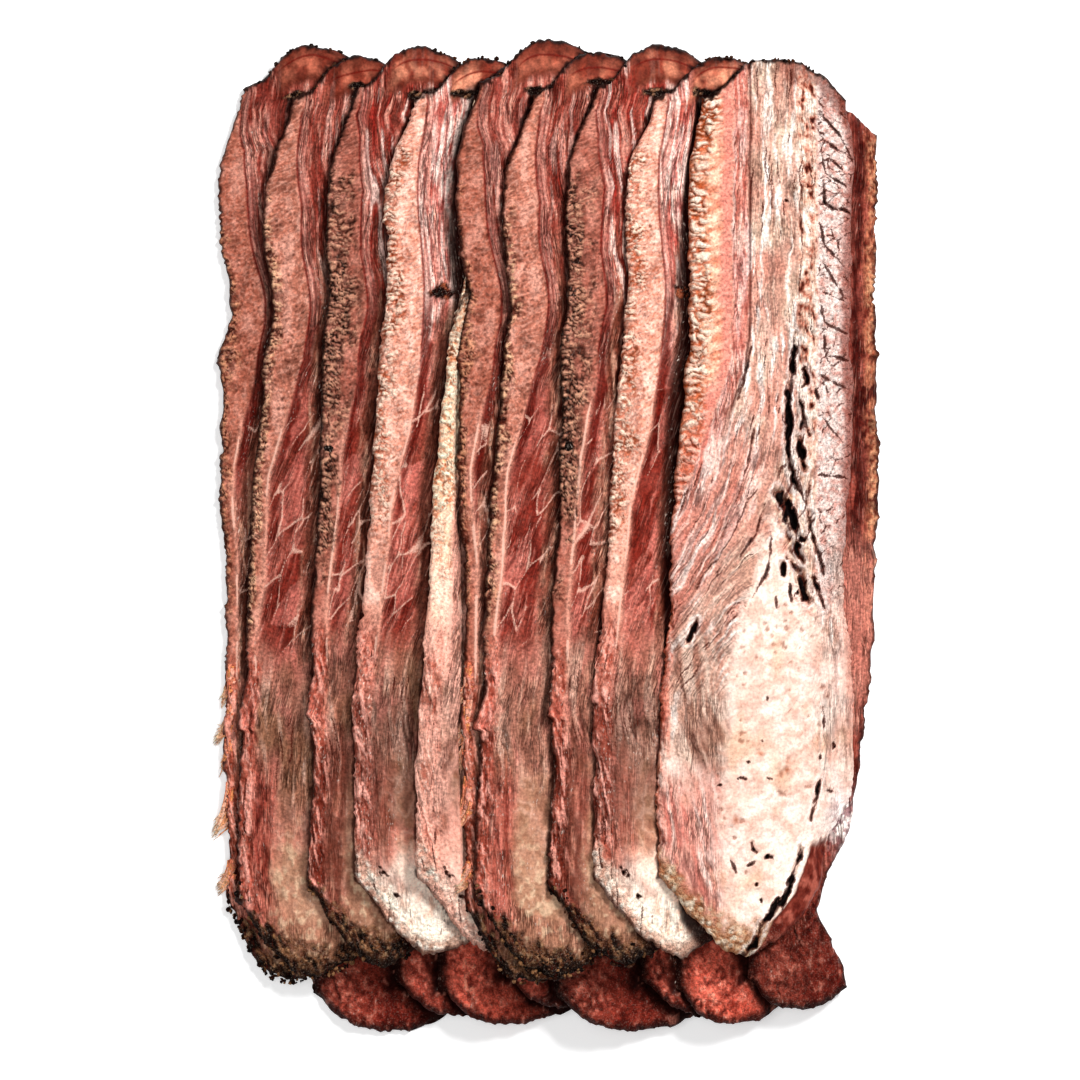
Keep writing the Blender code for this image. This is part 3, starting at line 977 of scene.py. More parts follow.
# %% Dress the strips
def dress_strip(ground, strip, following, beyond):
    """Relief and paint of an upper slice of which a strip shows; the gap lies at the one beyond."""
    a, s, e, g = ground.a, ground.s, ground.e, ground.g
    blend, tint, lift, ripple = ground.blend, ground.tint, ground.lift, ground.ripple
    clear = ground.clear_of(following)
    clear += (ground.clear_of(beyond) - clear) * ramp(s, *DRAWN_BACK)
    edge = np.minimum(a, 0.7 * e)
    broad = ripple(7.0, 16.0, 22, 2)
    blotch = ripple(3.0, 5.0, 25, 3)
    mottle = ripple(1.5, 2.2, 23, 3)
    seam = np.interp(s, *strip.seam)
    q = a + 1.3 * ripple(8.0, 26.0, 20, 2) * ramp(a, 1.0, 5.0)
    run = q - np.interp(s, *RUN) - (seam - 8.0) * ramp(s, 150.0, 168.0)
    ground.q = run
    ground.rim(1.6)
    ground.ragged(0.8, 1.5, 0.8)
    lift(0.8 * broad + 0.5 * blotch)
    lift(0.7 * np.exp(-a / 3.5) * band(s, 20.0, 225.0, 15.0))

    # the regions
    cap = below(g + 3.0 * blotch, 8.0, 11.5) * ramp(a + 3.0 * blotch, 8.0, 12.0)
    upper = ramp(s + 8.0 * broad, 148.0, 164.0) * (1.0 - cap)
    margin = below(q + 0.8 * mottle, seam - 0.35, seam + 0.35) * (1.0 - cap)
    inner = 1.0 - margin
    low = below(s + 16.0 * broad + 10.0 * blotch, 74.0, 92.0)
    middle = inner * below(s + 8.0 * broad, 148.0, 164.0) * (1.0 - low)

    # meat in the upper part, muscle in the middle, grey towards the right
    ground.paint[:] = strip.meat + (MUSCLE - strip.meat) * (1.0 - upper)[:, None]
    tint((190, 116, 102), 0.8, blotch, 0.0, 0.2)
    blend((140, 66, 52), ramp(-blotch, 0.02, 0.22) * (1.0 - strip.shine * upper))
    strands = (mixed((230, 168, 152), (255, 236, 226), strip.gap),
               mixed((128, 50, 38), (206, 128, 112), strip.gap))
    lay_fibres(ground, inner * upper, run, *strands, 31, 0.8, 0.55, 0.9)
    lay_grooves(ground, 0.9 * inner * upper, run, 1.7)
    lay_bundles(ground, middle, run)
    lay_fibres(ground, 0.6 * middle, run, (222, 150, 136), (134, 52, 42), 36, 0.75, 0.6, 0.7)
    grey = below(clear + 2.0 * blotch, 2.0, 5.0) * band(s, 60.0, 190.0, 14.0) * inner
    blend((146, 96, 78), 0.7 * grey)
    lay_fibres(ground, 0.9 * grey, q, (214, 168, 146), (92, 44, 30), 44, 0.95, 0.7, 0.8)
    # painted highlights: white-pink streaks on the upper fibres, red between them
    shine = strip.shine * ramp(q, seam + 0.6, seam + 1.6) * band(s, 176.0, 246.0, 8.0)
    gap, crest = fibres(run, s, ground.seed + 38, 0.9, 12.0)
    tint((255, 226, 216), 0.9 * shine, crest, 0.1, 0.7)
    blend((176, 44, 38), 0.6 * shine * gap)

    # the margin, the seam and the curls
    blend(strip.margin, margin)
    tint(strip.hair, 0.55 * margin, blotch, 0.0, 0.2)
    tint(strip.margin * 0.55, 0.6 * margin, -blotch - 0.4 * mottle, 0.05, 0.22)
    ground.fibre *= 1.0 - margin
    lay_hairs(ground, margin * ramp(s, 96.0, 120.0), strip.hair, strip.curl_dark)
    pink = band(q, seam + 0.3, seam + 2.2, 0.6) * upper
    blend(LIGHT_PINK, 0.40 * pink)
    thin = hill(q, seam, 0.30) * ramp(s, 154.0, 164.0) * below(s, 226.0, 236.0)
    second_line = hill(q, seam + 1.5 + 1.5 * broad, 0.28) * ramp(s, 166.0, 180.0) * upper
    blend((124, 28, 20), 0.9 * thin + 0.6 * second_line)
    lift(-0.35 * thin - 0.2 * second_line)
    wedge = band(q, seam + 0.2, seam + 2.4 + 3.0 * blotch, 0.5) * band(s, 134.0, 176.0, 8.0)
    blend((116, 30, 18), 0.85 * wedge)
    thickness = 0.45 + 0.6 * ground.grain(6.0, 9.0, 29, 2)
    pale_seam = hill(q, seam - 0.2, thickness) * band(s, 82.0, 150.0, 7.0)
    blend(SINEW, 0.8 * pale_seam)
    drawn = band(s, 76.0, 154.0, 8.0) * ramp(ground.grain(3.0, 9.0, 32, 2), 0.34, 0.5)
    away = np.abs(q - seam + 0.5 * thickness)
    ground.vein = np.minimum(ground.vein, away + 1.5 * (1.0 - drawn) - 0.34 * thickness)
    lift(0.3 * pale_seam)
    lump = strip.lump * hill(s, 166.6, 4.8)
    ground.shift_x -= 1.7 * lump * np.exp(-a / 3.0)
    reach = strip.curl_width * (0.2 + 1.5 * ground.grain(2.5, 7.0, 24, 2)) + 3.0 * lump
    curly = below(a + 1.5 * mottle, 0.45 * reach, 1.25 * reach) * margin
    curly *= band(s + 22.0 * mottle + 30.0 * broad, strip.curl_from, strip.curl_to, 9.0)
    lay_curls(ground, curly, 1.1, strip.curl_light, strip.curl_dark, 41, 1.2)
    nick = below(ground.cells(2.2, 1.8, 26)[0] * 2.2 + 0.6 * mottle, 0.2, 0.5) * margin
    nick *= ground.grain(4.0, 6.0, 27, 2) > 0.46
    blend(strip.curl_dark * 0.7, 0.6 * nick * band(s, 90.0, 205.0, 10.0))

    # lower down: wrinkles, then smooth meat, and the torn left edge
    rough = low * ramp(q, 2.0, 4.5)
    blend((196, 146, 128), 0.85 * rough)
    tint((216, 150, 136), 0.7 * rough, blotch, 0.0, 0.2)
    tint((150, 116, 86), 0.6 * rough, broad, 0.02, 0.25)
    lay_wrinkles(ground, rough * 0.8, q, (222, 184, 166), (112, 62, 46))
    lay_grooves(ground, rough, q + 0.5 * np.sin(s / 5.0), 1.8, 106)
    smooth = below(s + 20.0 * broad + 12.0 * blotch, 40.0, 58.0)
    smooth *= ramp(edge + 4.0 * blotch, strip.torn - 0.5, strip.torn + 3.0)
    blend(TAIL, 0.9 * smooth)
    tint((214, 146, 132), 0.7 * smooth, broad, -0.05, 0.15)
    tint((178, 138, 112), 0.6 * smooth, -blotch, 0.02, 0.2)
    lighter = strip.tail - 1.0 + 0.5 * mottle + 0.4 * blotch
    ground.tone(1.0 + smooth * lighter * below(s, 24.0, 40.0))
    lift(-0.7 * ground.relief * smooth + 0.9 * smooth * mottle + 0.6 * smooth * blotch)
    ground.fibre *= 1.0 - 0.85 * smooth
    ground.crack += 1.5 * smooth
    wrinkle = ridges(ground.x / 3.2, ground.y / 5.0, ground.seed + 28, 3)
    tint((150, 98, 80), 0.40 * smooth, 0.3 - wrinkle, 0.0, 0.3)
    tint((236, 198, 180), 0.40 * smooth, wrinkle, 0.6, 0.95)
    lift(0.4 * smooth * wrinkle)
    if strip.tail > PALE_TAIL:
        blend((255, 238, 224), 0.9 * smooth * below(s + 6.0 * blotch, 22.0, 32.0))
        for across, up, size in TAIL_PITS:
            lay_pit(ground, across, up, size, 0.8 * size)
    stripes = band(edge + 2.0 * blotch, strip.torn * 0.5, strip.torn + 5.5, 1.4)
    stripes *= band(s, 8.0, 54.0, 8.0)
    blend((192, 94, 80), 0.6 * strip.reds * stripes)
    lay_fibres(ground, strip.reds * stripes, q + 0.1 * s, (226, 146, 130), (150, 46, 38),
               72, 1.2, 0.7, 1.0)
    torn = below(edge + 2.6 * mottle, strip.torn - 1.6, strip.torn + 0.4)
    torn *= below(s + 12.0 * broad, 80.0, 96.0) * ramp(s, 4.0, 12.0)
    blend(0.5 * (strip.torn_light + strip.torn_dark), 0.9 * torn)
    lay_torn(ground, torn, strip.torn_light, strip.torn_dark)
    lay_grooves(ground, torn, 0.9 * a, 1.5, 111, 0.14)
    dark = strip.stripes * band(s + 10.0 * blotch, 14.0, 62.0, 7.0) * below(edge, 8.0, 11.0)
    tint((108, 46, 32), 0.7 * dark, ground.grain(1.3, 9.0, 30, 2), 0.25, 0.5)
    if strip.tail > PALE_TAIL:
        ground.tone(1.0 - 0.35 * band(s + 10.0 * blotch, 34.0, 74.0, 8.0) * ramp(clear, -1.0, 1.0))

    # the torn flap that hangs over the neighbour
    flap = ramp(FLAP_HIGH - s, 0.0, FLAP_HIGH - FLAP_LOW)
    flap *= ramp(s - FLAP_LOW + 1.5 * mottle, -0.4, 0.6) * strip.flap
    ground.shift_x -= FLAP_OUT * flap * np.exp(-a / 3.0)
    blend((232, 150, 134), 0.7 * flap * below(a, 2.5, 4.5))
    lift(0.7 * flap * below(a, 3.0, 5.0))

    # beige meat above the crust, and frayed strands along the edge
    beige = strip.crust * below(s + 10.0 * blotch, 26.0, 44.0) * ramp(a + 4.0 * blotch, 7.0, 13.0)
    blend((198, 158, 132), 0.65 * beige)
    tint((232, 206, 178), 0.6 * beige, mottle, 0.02, 0.2)
    shreds = grain((a + 0.22 * s) / 0.8, s / 5.0, ground.seed + 96, 2) - 0.5
    frayed = below(a + 3.0 * blotch, 3.0, 5.5) * band(s + 8.0 * broad, 8.0, 84.0, 6.0)
    tint(strip.torn_light + 0.16, 0.75 * frayed, shreds, 0.08, 0.2)
    tint(strip.torn_dark * 0.6, 0.6 * frayed, -shreds, 0.08, 0.2)
    lift(1.6 * frayed * shreds)

    # the lower end: crust, or creamy crumbs
    depth = 6.5 * strip.crust + 9.0 * ripple(3.0, 5.0, 79, 3)
    crusty = strip.crust * below(e + 6.0 * mottle, depth - 4.0, depth + 3.0)
    crusty *= below(s + 10.0 * mottle + 6.0 * blotch, 13.0, 19.0)
    lay_crumbs(ground, 0.85 * np.clip(1.2 * crusty, 0.0, 1.0), 1.1,
               ((96, 54, 36), (146, 102, 74), (206, 168, 134)))
    strand = grain((ground.x + 0.5 * s) / 0.9, (s - 0.5 * ground.x) / 3.0, ground.seed + 80, 3)
    tint((24, 12, 7), 0.95 * crusty, strand, 0.50, 0.60)
    tint((172, 130, 98), 0.7 * crusty, 0.42 - strand, 0.0, 0.08)
    lift(1.2 * crusty * (0.5 - strand))
    blend((30, 14, 8), 0.9 * strip.crust * below(e + 5.0 * mottle, 0.5, 3.0))
    creamy = (1.0 - strip.crust) * below(e + 7.0 * mottle, 4.0, 12.0)
    lay_crumbs(ground, 0.75 * creamy, 1.3, ((240, 206, 186), (255, 236, 220), (255, 248, 238)), 85)
    singed = (1.0 - strip.crust) * below(np.minimum(e, 1.5 * a) + 1.6 * mottle, 0.4, 1.6)
    blend((110, 48, 28), 0.7 * singed * below(s, 20.0, 30.0))
    if strip.tail > PALE_TAIL:
        white = ramp(edge + 1.6 * mottle, 1.4, 3.6)
        white *= below(s + 10.0 * blotch + 8.0 * mottle, 13.0, 26.0)
        blend((255, 240, 226), 0.92 * white)
        tint((238, 200, 178), 0.7 * white, mottle, 0.05, 0.25)
        ground.crumb *= 1.0 - 0.8 * white

    # the domed end, with a painted highlight on its bulge and painted shade towards its rim
    ground.coarse -= 0.45 * smooth + 0.35 * cap
    blend(CAP, 0.9 * cap)
    dome_highlight = hill(g, 6.0, 4.0) * cap
    tint(mixed((180, 106, 86), (228, 164, 136), strip.shine), 0.8 * dome_highlight, blotch, -0.15, 0.15)
    tint((112, 54, 40), 0.8 * cap * hill(g, 10.0, 1.6), mottle, -0.2, 0.1)
    ground.tone(1.0 - 0.30 * cap * (1.0 - dome_highlight))
    ground.tone(1.0 + cap * mottle)
    lift(cap * (1.5 * dome_highlight - 0.6 * ground.relief))
    ground.fibre *= 1.0 - 0.9 * cap
    uneven = lay_ring(ground, (40, 16, 9))
    arc = hill(g, 4.0 + 2.5 * ripple(9.0, 9.0, 88, 1), 0.3) * ramp(a, 9.0, 13.0)
    blend((124, 34, 24), 0.85 * arc)
    lift(-0.3 * arc)
    ground.shift_y += strip.rise * np.exp(-g / 8.0) * band(a, 4.0, 22.0, 4.0)
    under = lays[following]
    corner = under.top(0.06)
    pit = np.hypot((ground.x - under.left(corner) - 0.8) / 2.1, (ground.y - corner - 0.5) / 0.9)
    pit += 1.2 * ripple(1.2, 1.2, 92, 2)
    lay_crumbs(ground, below(pit + 1.2 * mottle, 1.0, 1.7), 0.8,
               ((26, 11, 7), (62, 34, 22), (206, 160, 128)), 98)
    lift(-1.2 * below(pit, 0.4, 1.4))
    outline = below(a + 1.1 * uneven, 0.2, 0.9)
    blend(strip.curl_dark * 0.4, 0.85 * outline * (strip.tone < 1.05))

    # the deep gap beside the next slice's edge: lowered, and painted near black as its shadow
    wide = strip.gap * np.interp(s, *GAP) + 0.8 * strip.gap * (broad + mottle)
    gap = below(ground.clear_of(beyond) + 0.5 * mottle, 0.45 * wide, wide + 0.1) * (wide > 0.2)
    blend((50, 12, 6), 0.92 * gap)
    lift(-1.6 * gap)
    ground.vein += 2.0 * gap
    hole = strip.gap * mound(a, 14.6, 3.0, s, 177.5, 2.0)
    lay_crumbs(ground, ramp(hole + 1.1 * mottle, 0.42, 0.62), 0.9,
               ((34, 10, 6), (88, 34, 20), (196, 120, 88)), 86)

    # painted shade along the next slice's edge, and painted black shadow beside it near the domed
    # ends
    reach = strip.damp * (0.45 + 0.55 * ramp(s, 140.0, 175.0))
    damp = below(clear + 1.4 * mottle, 0.1, reach)
    blend((66, 16, 9), 0.8 * damp)
    shoulder_shade = below(clear + 3.0 * mottle, 0.2, 1.6) * ramp(s, 214.0, 226.0)
    blend(SHOULDER_SHADOW, 0.7 * shoulder_shade)
    if strip.tail > PALEST_TAIL:
        ground.shift_x += 3.8 * ramp(s, *DRAWN_BACK) * np.exp(-a / 4.2)
        tint((246, 196, 180), 0.6 * below(s + 12.0 * blotch, 100.0, 132.0), blotch, -0.3, 0.1)
        # painted shade: near the top the strip is painted dark, as in shadow beside the sixth slice
        shaded_top = ramp(s + 24.0 * mottle + 10.0 * blotch, 160.0, 182.0)
        tint((58, 20, 12), 0.96 * shaded_top, 0.16 - mottle, -0.12, 0.04)
        ground.crumb *= 1.0 - shaded_top
    # painted light and shade: the whole slice lighter or darker
    ground.tone(strip.tone)
    ground.wet -= 0.3 * crusty
    lift(strip.raised * ramp(clear, 0.2, 1.6) * band(s, 20.0, 176.0, 8.0))


for index, name in enumerate(UPPER[:-1]):
    ground = Ground(name, "strip", STRIP_SEED + SEED_APART * index)
    beyond = UPPER[index + 2] if index == FOURTH else UPPER[index + 1]
    dress_strip(ground, STRIPS[index % HANDFUL], UPPER[index + 1], beyond)
    ground.finish(upper_meat, "upper_slices")
print("dressed", len(UPPER) - 1, "strips")

# %% [markdown]
# ## The slice that shows its face
#
# The last upper slice shows all its zones. From left to right there are cream fat, a red stripe,
# grey-white fibres, crumbling cream, a pale skin with cracks like a leaf's veins, and a brown
# border. Lower down the fibres lean over and run out into smooth pale meat. Its places are given
# in mm, across from where the left edge runs and up from the pointed end.

# %% Sizes of the face
FACE_LINE = 37.9                    # mm: the left edge's place in the frame
FAT_EDGE = ((112, 125, 137, 147, 156, 165, 240), (-6.0, -1.5, 2.4, 6.3, 9.4, 10.7, 10.7))
FAN = ((70, 80, 97, 108, 115, 132, 150, 165), (40.0, 34.0, 22.0, 15.0, 11.0, 5.0, 1.0, 0.0))
PALE_EDGE = ((-4, 6, 10, 14, 19, 22, 30, 46), (58, 70, 80, 90, 110, 116, 92, 88))

CRACKS = [                          # half width in mm, then places along it
    (0.22, [(34.9, 225.6), (41.0, 218.9), (43.3, 213.3)]),
    (0.20, [(35.1, 218.9), (41.0, 215.6)]),
    (0.24, [(34.9, 216.1), (36.0, 209.9), (42.2, 206.5)]),
    (0.18, [(37.1, 213.9), (41.0, 211.0)]),
    (0.30, [(35.7, 208.3), (35.7, 202.1), (38.2, 200.4), (41.0, 200.4), (43.0, 199.2)]),
    (0.24, [(34.6, 196.5), (36.0, 190.2), (41.0, 185.2)]),
    (0.20, [(35.4, 185.8), (41.0, 176.8)]),
    (0.20, [(35.1, 178.1), (41.3, 175.7)]),
    (0.24, [(34.9, 173.9), (36.0, 170.0), (42.2, 166.9)]),
    (0.24, [(35.7, 166.6), (36.0, 161.0), (42.2, 160.0)]),
    (0.22, [(34.4, 155.9), (41.1, 152.6)]),
    (0.18, [(35.0, 144.7), (41.1, 137.5)]),
    (0.22, [(33.9, 129.2), (41.7, 128.4)]),
    (0.62, [(28.0, 166.3), (27.0, 159.4), (27.2, 155.3), (25.8, 150.2), (25.5, 146.2),
            (26.3, 141.9), (25.5, 137.0), (26.4, 131.4), (28.0, 125.3)]),
    (0.45, [(30.6, 157.5), (31.0, 153.6), (29.6, 152.4)]),
    (0.30, [(33.4, 152.0), (34.4, 148.0)]),
    (0.42, [(29.1, 148.9), (30.2, 144.5), (31.6, 139.5)]),
    (0.34, [(30.2, 144.5), (29.4, 141.0)]),
    (0.70, [(28.6, 138.9), (29.4, 135.0), (30.2, 130.6)]),
    (0.36, [(26.4, 131.4), (28.4, 125.8), (31.2, 121.0)]),
    (1.05, [(22.8, 124.7), (24.6, 121.9), (26.2, 118.3), (28.0, 113.6)]),
    (0.50, [(31.2, 119.5), (32.3, 113.5), (34.2, 107.4), (35.6, 102.4)]),
    (0.45, [(28.0, 113.6), (28.4, 108.4), (30.0, 105.4)]),
    (0.60, [(29.3, 112.4), (29.9, 111.4)]),
    (0.70, [(24.2, 105.3), (24.8, 101.9)]),
    (0.35, [(25.4, 107.0), (28.6, 103.2)]),
    (1.25, [(29.2, 102.4), (29.9, 98.2), (31.4, 95.2)]),
    (0.42, [(32.6, 101.7), (34.4, 97.0), (35.8, 93.4)]),
    (0.28, [(26.3, 100.0), (26.7, 95.0)]),
    (0.22, [(22.6, 96.6), (22.8, 93.4)]),
    (0.26, [(16.0, 163.0), (14.6, 156.0), (12.3, 148.5)]),
    (0.26, [(16.6, 141.0), (15.6, 134.0), (13.6, 126.3)]),
    (0.24, [(19.6, 121.0), (17.2, 113.0), (13.0, 107.0)]),
    (0.24, [(21.5, 113.0), (20.6, 104.0), (16.4, 96.0)]),
    (0.55, [(-1.2, 84.0), (0.4, 87.0), (1.2, 90.0)]),
    (0.25, [(35.4, 67.3), (35.6, 61.4)]),
    (0.42, [(34.4, 47.7), (33.6, 43.7), (31.8, 36.6)]),
    (0.62, [(29.4, 29.3), (27.4, 22.4), (25.4, 17.0), (22.8, 13.4), (19.2, 9.9), (16.8, 4.0),
            (13.1, 0.0)]),
    (0.35, [(26.8, 19.4), (23.6, 16.0), (20.4, 12.4)]),
    (0.30, [(16.0, 31.0), (16.3, 29.0), (17.6, 28.0)]),
    (0.22, [(10.4, 26.0), (12.0, 22.6)]),
    (0.22, [(14.6, 24.6), (16.8, 25.8)]),
]
PITS = [                            # across, up, half width, half height
    (25.6, 202.4, 0.50, 0.45), (30.2, 156.5, 0.60, 1.30), (20.3, 69.2, 0.45, 0.45),
    (15.2, 52.1, 0.35, 0.35), (18.7, 57.9, 0.35, 0.35), (13.6, 47.8, 0.90, 0.40),
    (20.8, 47.8, 0.60, 0.40), (7.5, 46.2, 0.45, 0.45), (20.8, 27.0, 1.10, 0.85),
    (17.4, 19.8, 0.50, 0.70), (10.9, 7.5, 0.50, 0.45), (38.2, 56.6, 0.40, 0.80),
    (34.4, 53.4, 0.40, 0.70), (37.1, 44.6, 0.70, 0.45), (18.6, 15.5, 0.35, 0.60),
]
NOTCH = ((0, 6, 12, 22, 28, 33, 38, 45), (1.0, 2.0, 3.0, 4.6, 6.0, 5.0, 2.6, 0.0))  # off the right
END_LINE = ((0.0, 3.0, 6.0, 9.9, 13.4, 17.0, 22.4, 28.0, 32.0),        # heights of the last crack
            (13.6, 17.6, 19.2, 20.6, 23.8, 26.4, 28.6, 30.4, 31.6))     # and its places across
HOLLOW = ((24.0, 123.0), (27.0, 115.0), (29.0, 107.0), (30.5, 98.0))    # the line of the hollow
STAINS = ((23.8, 49.1, 1.0), (26.2, 52.9, 1.1), (12.3, 36.8, 1.3), (18.5, 54.7, 1.0),
          (25.4, 50.2, 0.8))        # across, up and size
GOLDEN = (26.2, 122.5)              # a fleck of golden fat above the hollow


def away_from(x, y, path):
    """Distance to a line through the places of a path, and the share of the path's length there."""
    away = np.full_like(x, np.inf)
    along = np.zeros_like(x)
    steps = [math.dist(one, other) for one, other in zip(path[:-1], path[1:])]
    done = 0.0
    for (x0, y0), (x1, y1), step in zip(path[:-1], path[1:], steps):
        dx, dy = x1 - x0, y1 - y0
        share = np.clip(((x - x0) * dx + (y - y0) * dy) / (step * step), 0.0, 1.0)
        here = np.hypot(x - x0 - share * dx, y - y0 - share * dy)
        along = np.where(here < away, (done + share * step) / sum(steps), along)
        away = np.minimum(away, here)
        done += step
    return away, along


def lay_glassy_highlight(ground, w, s):
    """A painted glassy highlight low on the right, on the face and on the slice below it."""
    shine = mound(w, 40.5, 4.0, s, 37.0, 6.5)
    first, _, share = ground.cells(1.3, 1.3, 75)
    ground.blend((202, 178, 182), 0.8 * shine)
    ground.blend(WHITE, shine * ramp(share + ground.grain(1.5, 2.0, 24, 3) - 0.5, 0.4, 0.6) * 1.3)
    ground.lift(shine * (0.9 * np.clip(1.0 - first, 0.0, 1.0) - 0.4))


# %% Dress the face
def dress_face(ground):
    """Relief and paint of the slice that shows its whole face."""
    a, s, e, g, b = ground.a, ground.s, ground.e, ground.g, ground.b
    blend, tint, lift, ripple = ground.blend, ground.tint, ground.lift, ground.ripple
    wave = ripple(6.0, 18.0, 20, 2)
    broad = ripple(6.0, 9.0, 22, 2)
    blotch = ripple(3.2, 4.2, 23, 3)
    mottle = ripple(1.5, 2.0, 24, 3)
    notch = np.interp(s, *NOTCH)
    push = notch * np.clip(1.0 - b / np.maximum(3.0 * notch, 0.1), 0.0, 1.0) ** 2
    ground.shift_x -= push
    ground.w = ground.x - push - FACE_LINE
    b = b - notch + push
    w = ground.w + 1.2 * wave + 0.7 * mottle
    ground.rim(1.6)
    ground.ragged(0.8, 1.2, 0.8, 0.6)
    lift(0.8 * broad + 0.5 * blotch)
    lift(0.5 * np.exp(-a / 3.0) * ramp(s, 20.0, 40.0))

    fan = w + np.interp(s, *FAN) * (1.0 - 0.9 * ramp(w, 8.0, 36.0))
    ground.q = fan
    bound = np.interp(w, *PALE_EDGE)
    pale = below(s + 9.0 * wave + 12.0 * mottle + 14.0 * blotch, bound - 11.0, bound + 6.0)
    fat_edge = np.interp(s, *FAT_EDGE)
    fat = below(w + 1.2 * blotch, fat_edge - 0.5, fat_edge + 0.5)
    fibrous = (1.0 - fat) * (1.0 - pale)
    leaf = band(w + blotch, 34.0, 47.0, 0.9) * ramp(s + 10.0 * blotch, 86.0, 104.0)

    # fibres over all, greyish pink, with green-grey and pink patches
    ground.paint[:] = shade(233, 198, 182)
    ground.coarse -= 0.5 * pale
    blend((218, 196, 176), 0.6 * ramp(broad + 0.4 * blotch, 0.04, 0.2) * band(w, 13.0, 33.0, 3.0))
    blend((232, 172, 156), 0.7 * ramp(-broad, 0.0, 0.2) * fibrous)
    lay_fibres(ground, fibrous * (1.0 - leaf), fan, (255, 248, 242), (190, 134, 116), 31,
               0.85, 0.5, 0.9)
    lay_grooves(ground, fibrous * (1.0 - leaf), fan, 1.9, 104, 0.12)

    # the red stripe right of the fat, and the red meat where the fibres lean
    stripe = band(w, fat_edge, fat_edge + 4.4, 0.7) * ramp(s, 104.0, 124.0)
    blend((222, 134, 120), 0.6 * stripe)
    gap, crest = fibres(w, s, ground.seed + 55, 0.75, 8.0)
    blend((150, 48, 36), 0.6 * stripe * gap)
    blend((252, 216, 204), 0.7 * stripe * crest)
    groove_line = hill(w, fat_edge + 4.9 + 0.8 * mottle, 0.35) * ramp(s, 134.0, 150.0)
    groove_line *= ramp(ground.grain(3.0, 9.0, 58, 2), 0.36, 0.52)
    blend((104, 34, 22), 0.9 * groove_line)
    lift(-0.5 * groove_line)
    red_meat = below(fan + 3.0 * blotch, 20.0, 28.0) * band(s, 74.0, 138.0, 10.0) * (1.0 - fat)
    blend((232, 166, 150), 0.6 * red_meat)
    lay_fibres(ground, 0.8 * red_meat, fan, (255, 240, 232), (186, 104, 88), 57, 1.1, 0.7, 1.0)
    lay_grooves(ground, red_meat, fan, 2.3, 109, 0.16)

    # fat: browned crumbs at the edge, fine strokes that run in from it
    blend((226, 172, 148), fat)
    ground.fibre *= 1.0 - fat
    stroke = grain((w + 0.5 * s) / 3.0, (s - 0.4 * w) / 0.9, ground.seed + 60, 3) - 0.5
    tint((248, 214, 190), 0.85 * fat, stroke, 0.0, 0.2)
    tint((214, 138, 110), 0.7 * fat, -stroke, 0.02, 0.2)
    tint((222, 150, 138), 0.8 * fat, w - fat_edge + 4.5 + 3.0 * blotch, 0.0, 3.0)
    lift(fat * 0.8 * stroke)
    curly = fat * below(a + 2.0 * mottle, 3.5, 8.0 + 5.0 * wave) * ramp(s, 96.0, 118.0)
    lay_curls(ground, curly, 1.5, (255, 240, 224), (192, 104, 56), 41, 1.5)
    blend((232, 150, 128), 0.6 * fat * below(s + 24.0 * mottle, 122.0, 152.0))

    # crumbling cream and the cracked skin
    cream = band(w, 28.5, 34.6, 1.4) * ramp(s + 10.0 * blotch, 116.0, 146.0)
    blend((234, 194, 174), 0.8 * cream)
    flake = grain((w + 0.2 * s) / 1.2, s / 2.2, ground.seed + 48, 3)
    tint((255, 240, 228), 0.9 * cream, flake, 0.50, 0.64)
    tint((178, 102, 80), 0.9 * cream, 0.46 - flake, 0.0, 0.12)
    tint((92, 34, 22), cream, 0.35 - flake, 0.0, 0.06)
    lift(cream * 1.6 * (flake - 0.5))
    blend((250, 226, 218), 0.95 * leaf)
    ground.fibre *= 1.0 - leaf
    fine = ripple(1.0, 1.2, 49, 3)
    tint((222, 168, 156), 0.85 * leaf, fine, 0.02, 0.22)
    tint((255, 242, 236), 0.8 * leaf, -fine, 0.02, 0.22)
    bend = ripple(2.5, 2.5, 53, 2)
    first, second, share = cells((w + 0.7 * s) / 5.2 + 0.5 * bend, (s - 0.5 * w) / 3.4 + 0.5 * bend,
                                 ground.seed + 50)
    vein = below(second - first, 0.01, 0.07) * leaf * ramp(share, 0.15, 0.4)
    blend((150, 96, 82), 0.65 * vein)
    cracked = (leaf > 0.6) & (share > 0.45)
    ground.crack = np.where(cracked, 1.9 * (second - first) - 0.10, ground.crack)
    lift(leaf * (0.7 * fine - 0.4 * vein) - 0.6 * leaf * ground.relief)
    ground.crumb = np.maximum(ground.crumb, 0.35 * leaf)

    # smooth pale meat
    blend((242, 216, 202), pale)
    ground.fibre *= 0.6 - 0.6 * pale
    tint((248, 230, 220), 0.9 * pale, -blotch - 0.5 * broad, -0.10, 0.25)
    swirl = ridges((w + 4.0 * broad) / 7.0, (s + 5.0 * wave) / 4.5, ground.seed + 29, 3)
    tint((230, 188, 172), 0.5 * pale, swirl + 0.6 * blotch, 0.5, 0.95)
    tint((255, 240, 228), 0.5 * pale, 0.42 - swirl, 0.0, 0.3)
    tint((226, 188, 158), 0.5 * pale, broad, 0.06, 0.3)
    tint((214, 156, 138), 0.3 * pale, mottle, 0.08, 0.3)
    rosy = ramp(w, 26.0, 38.0) * band(s, 40.0, 100.0, 12.0)
    lay_fibres(ground, 0.55 * pale * rosy, w, (250, 228, 220), (198, 130, 114), 62, 1.3, 0.2, 0.6)
    lift(-0.5 * pale * ground.relief + pale * (0.5 * blotch + 1.1 * mottle))
    nick = below(ground.cells(3.4, 2.6, 28)[0] * 3.4 + 2.0 * mottle, 0.25, 0.6) * pale
    nick *= ramp(ground.grain(6.0, 6.0, 21, 2), 0.58, 0.66)
    blend((150, 92, 68), 0.6 * nick)
    lift(-0.4 * nick)

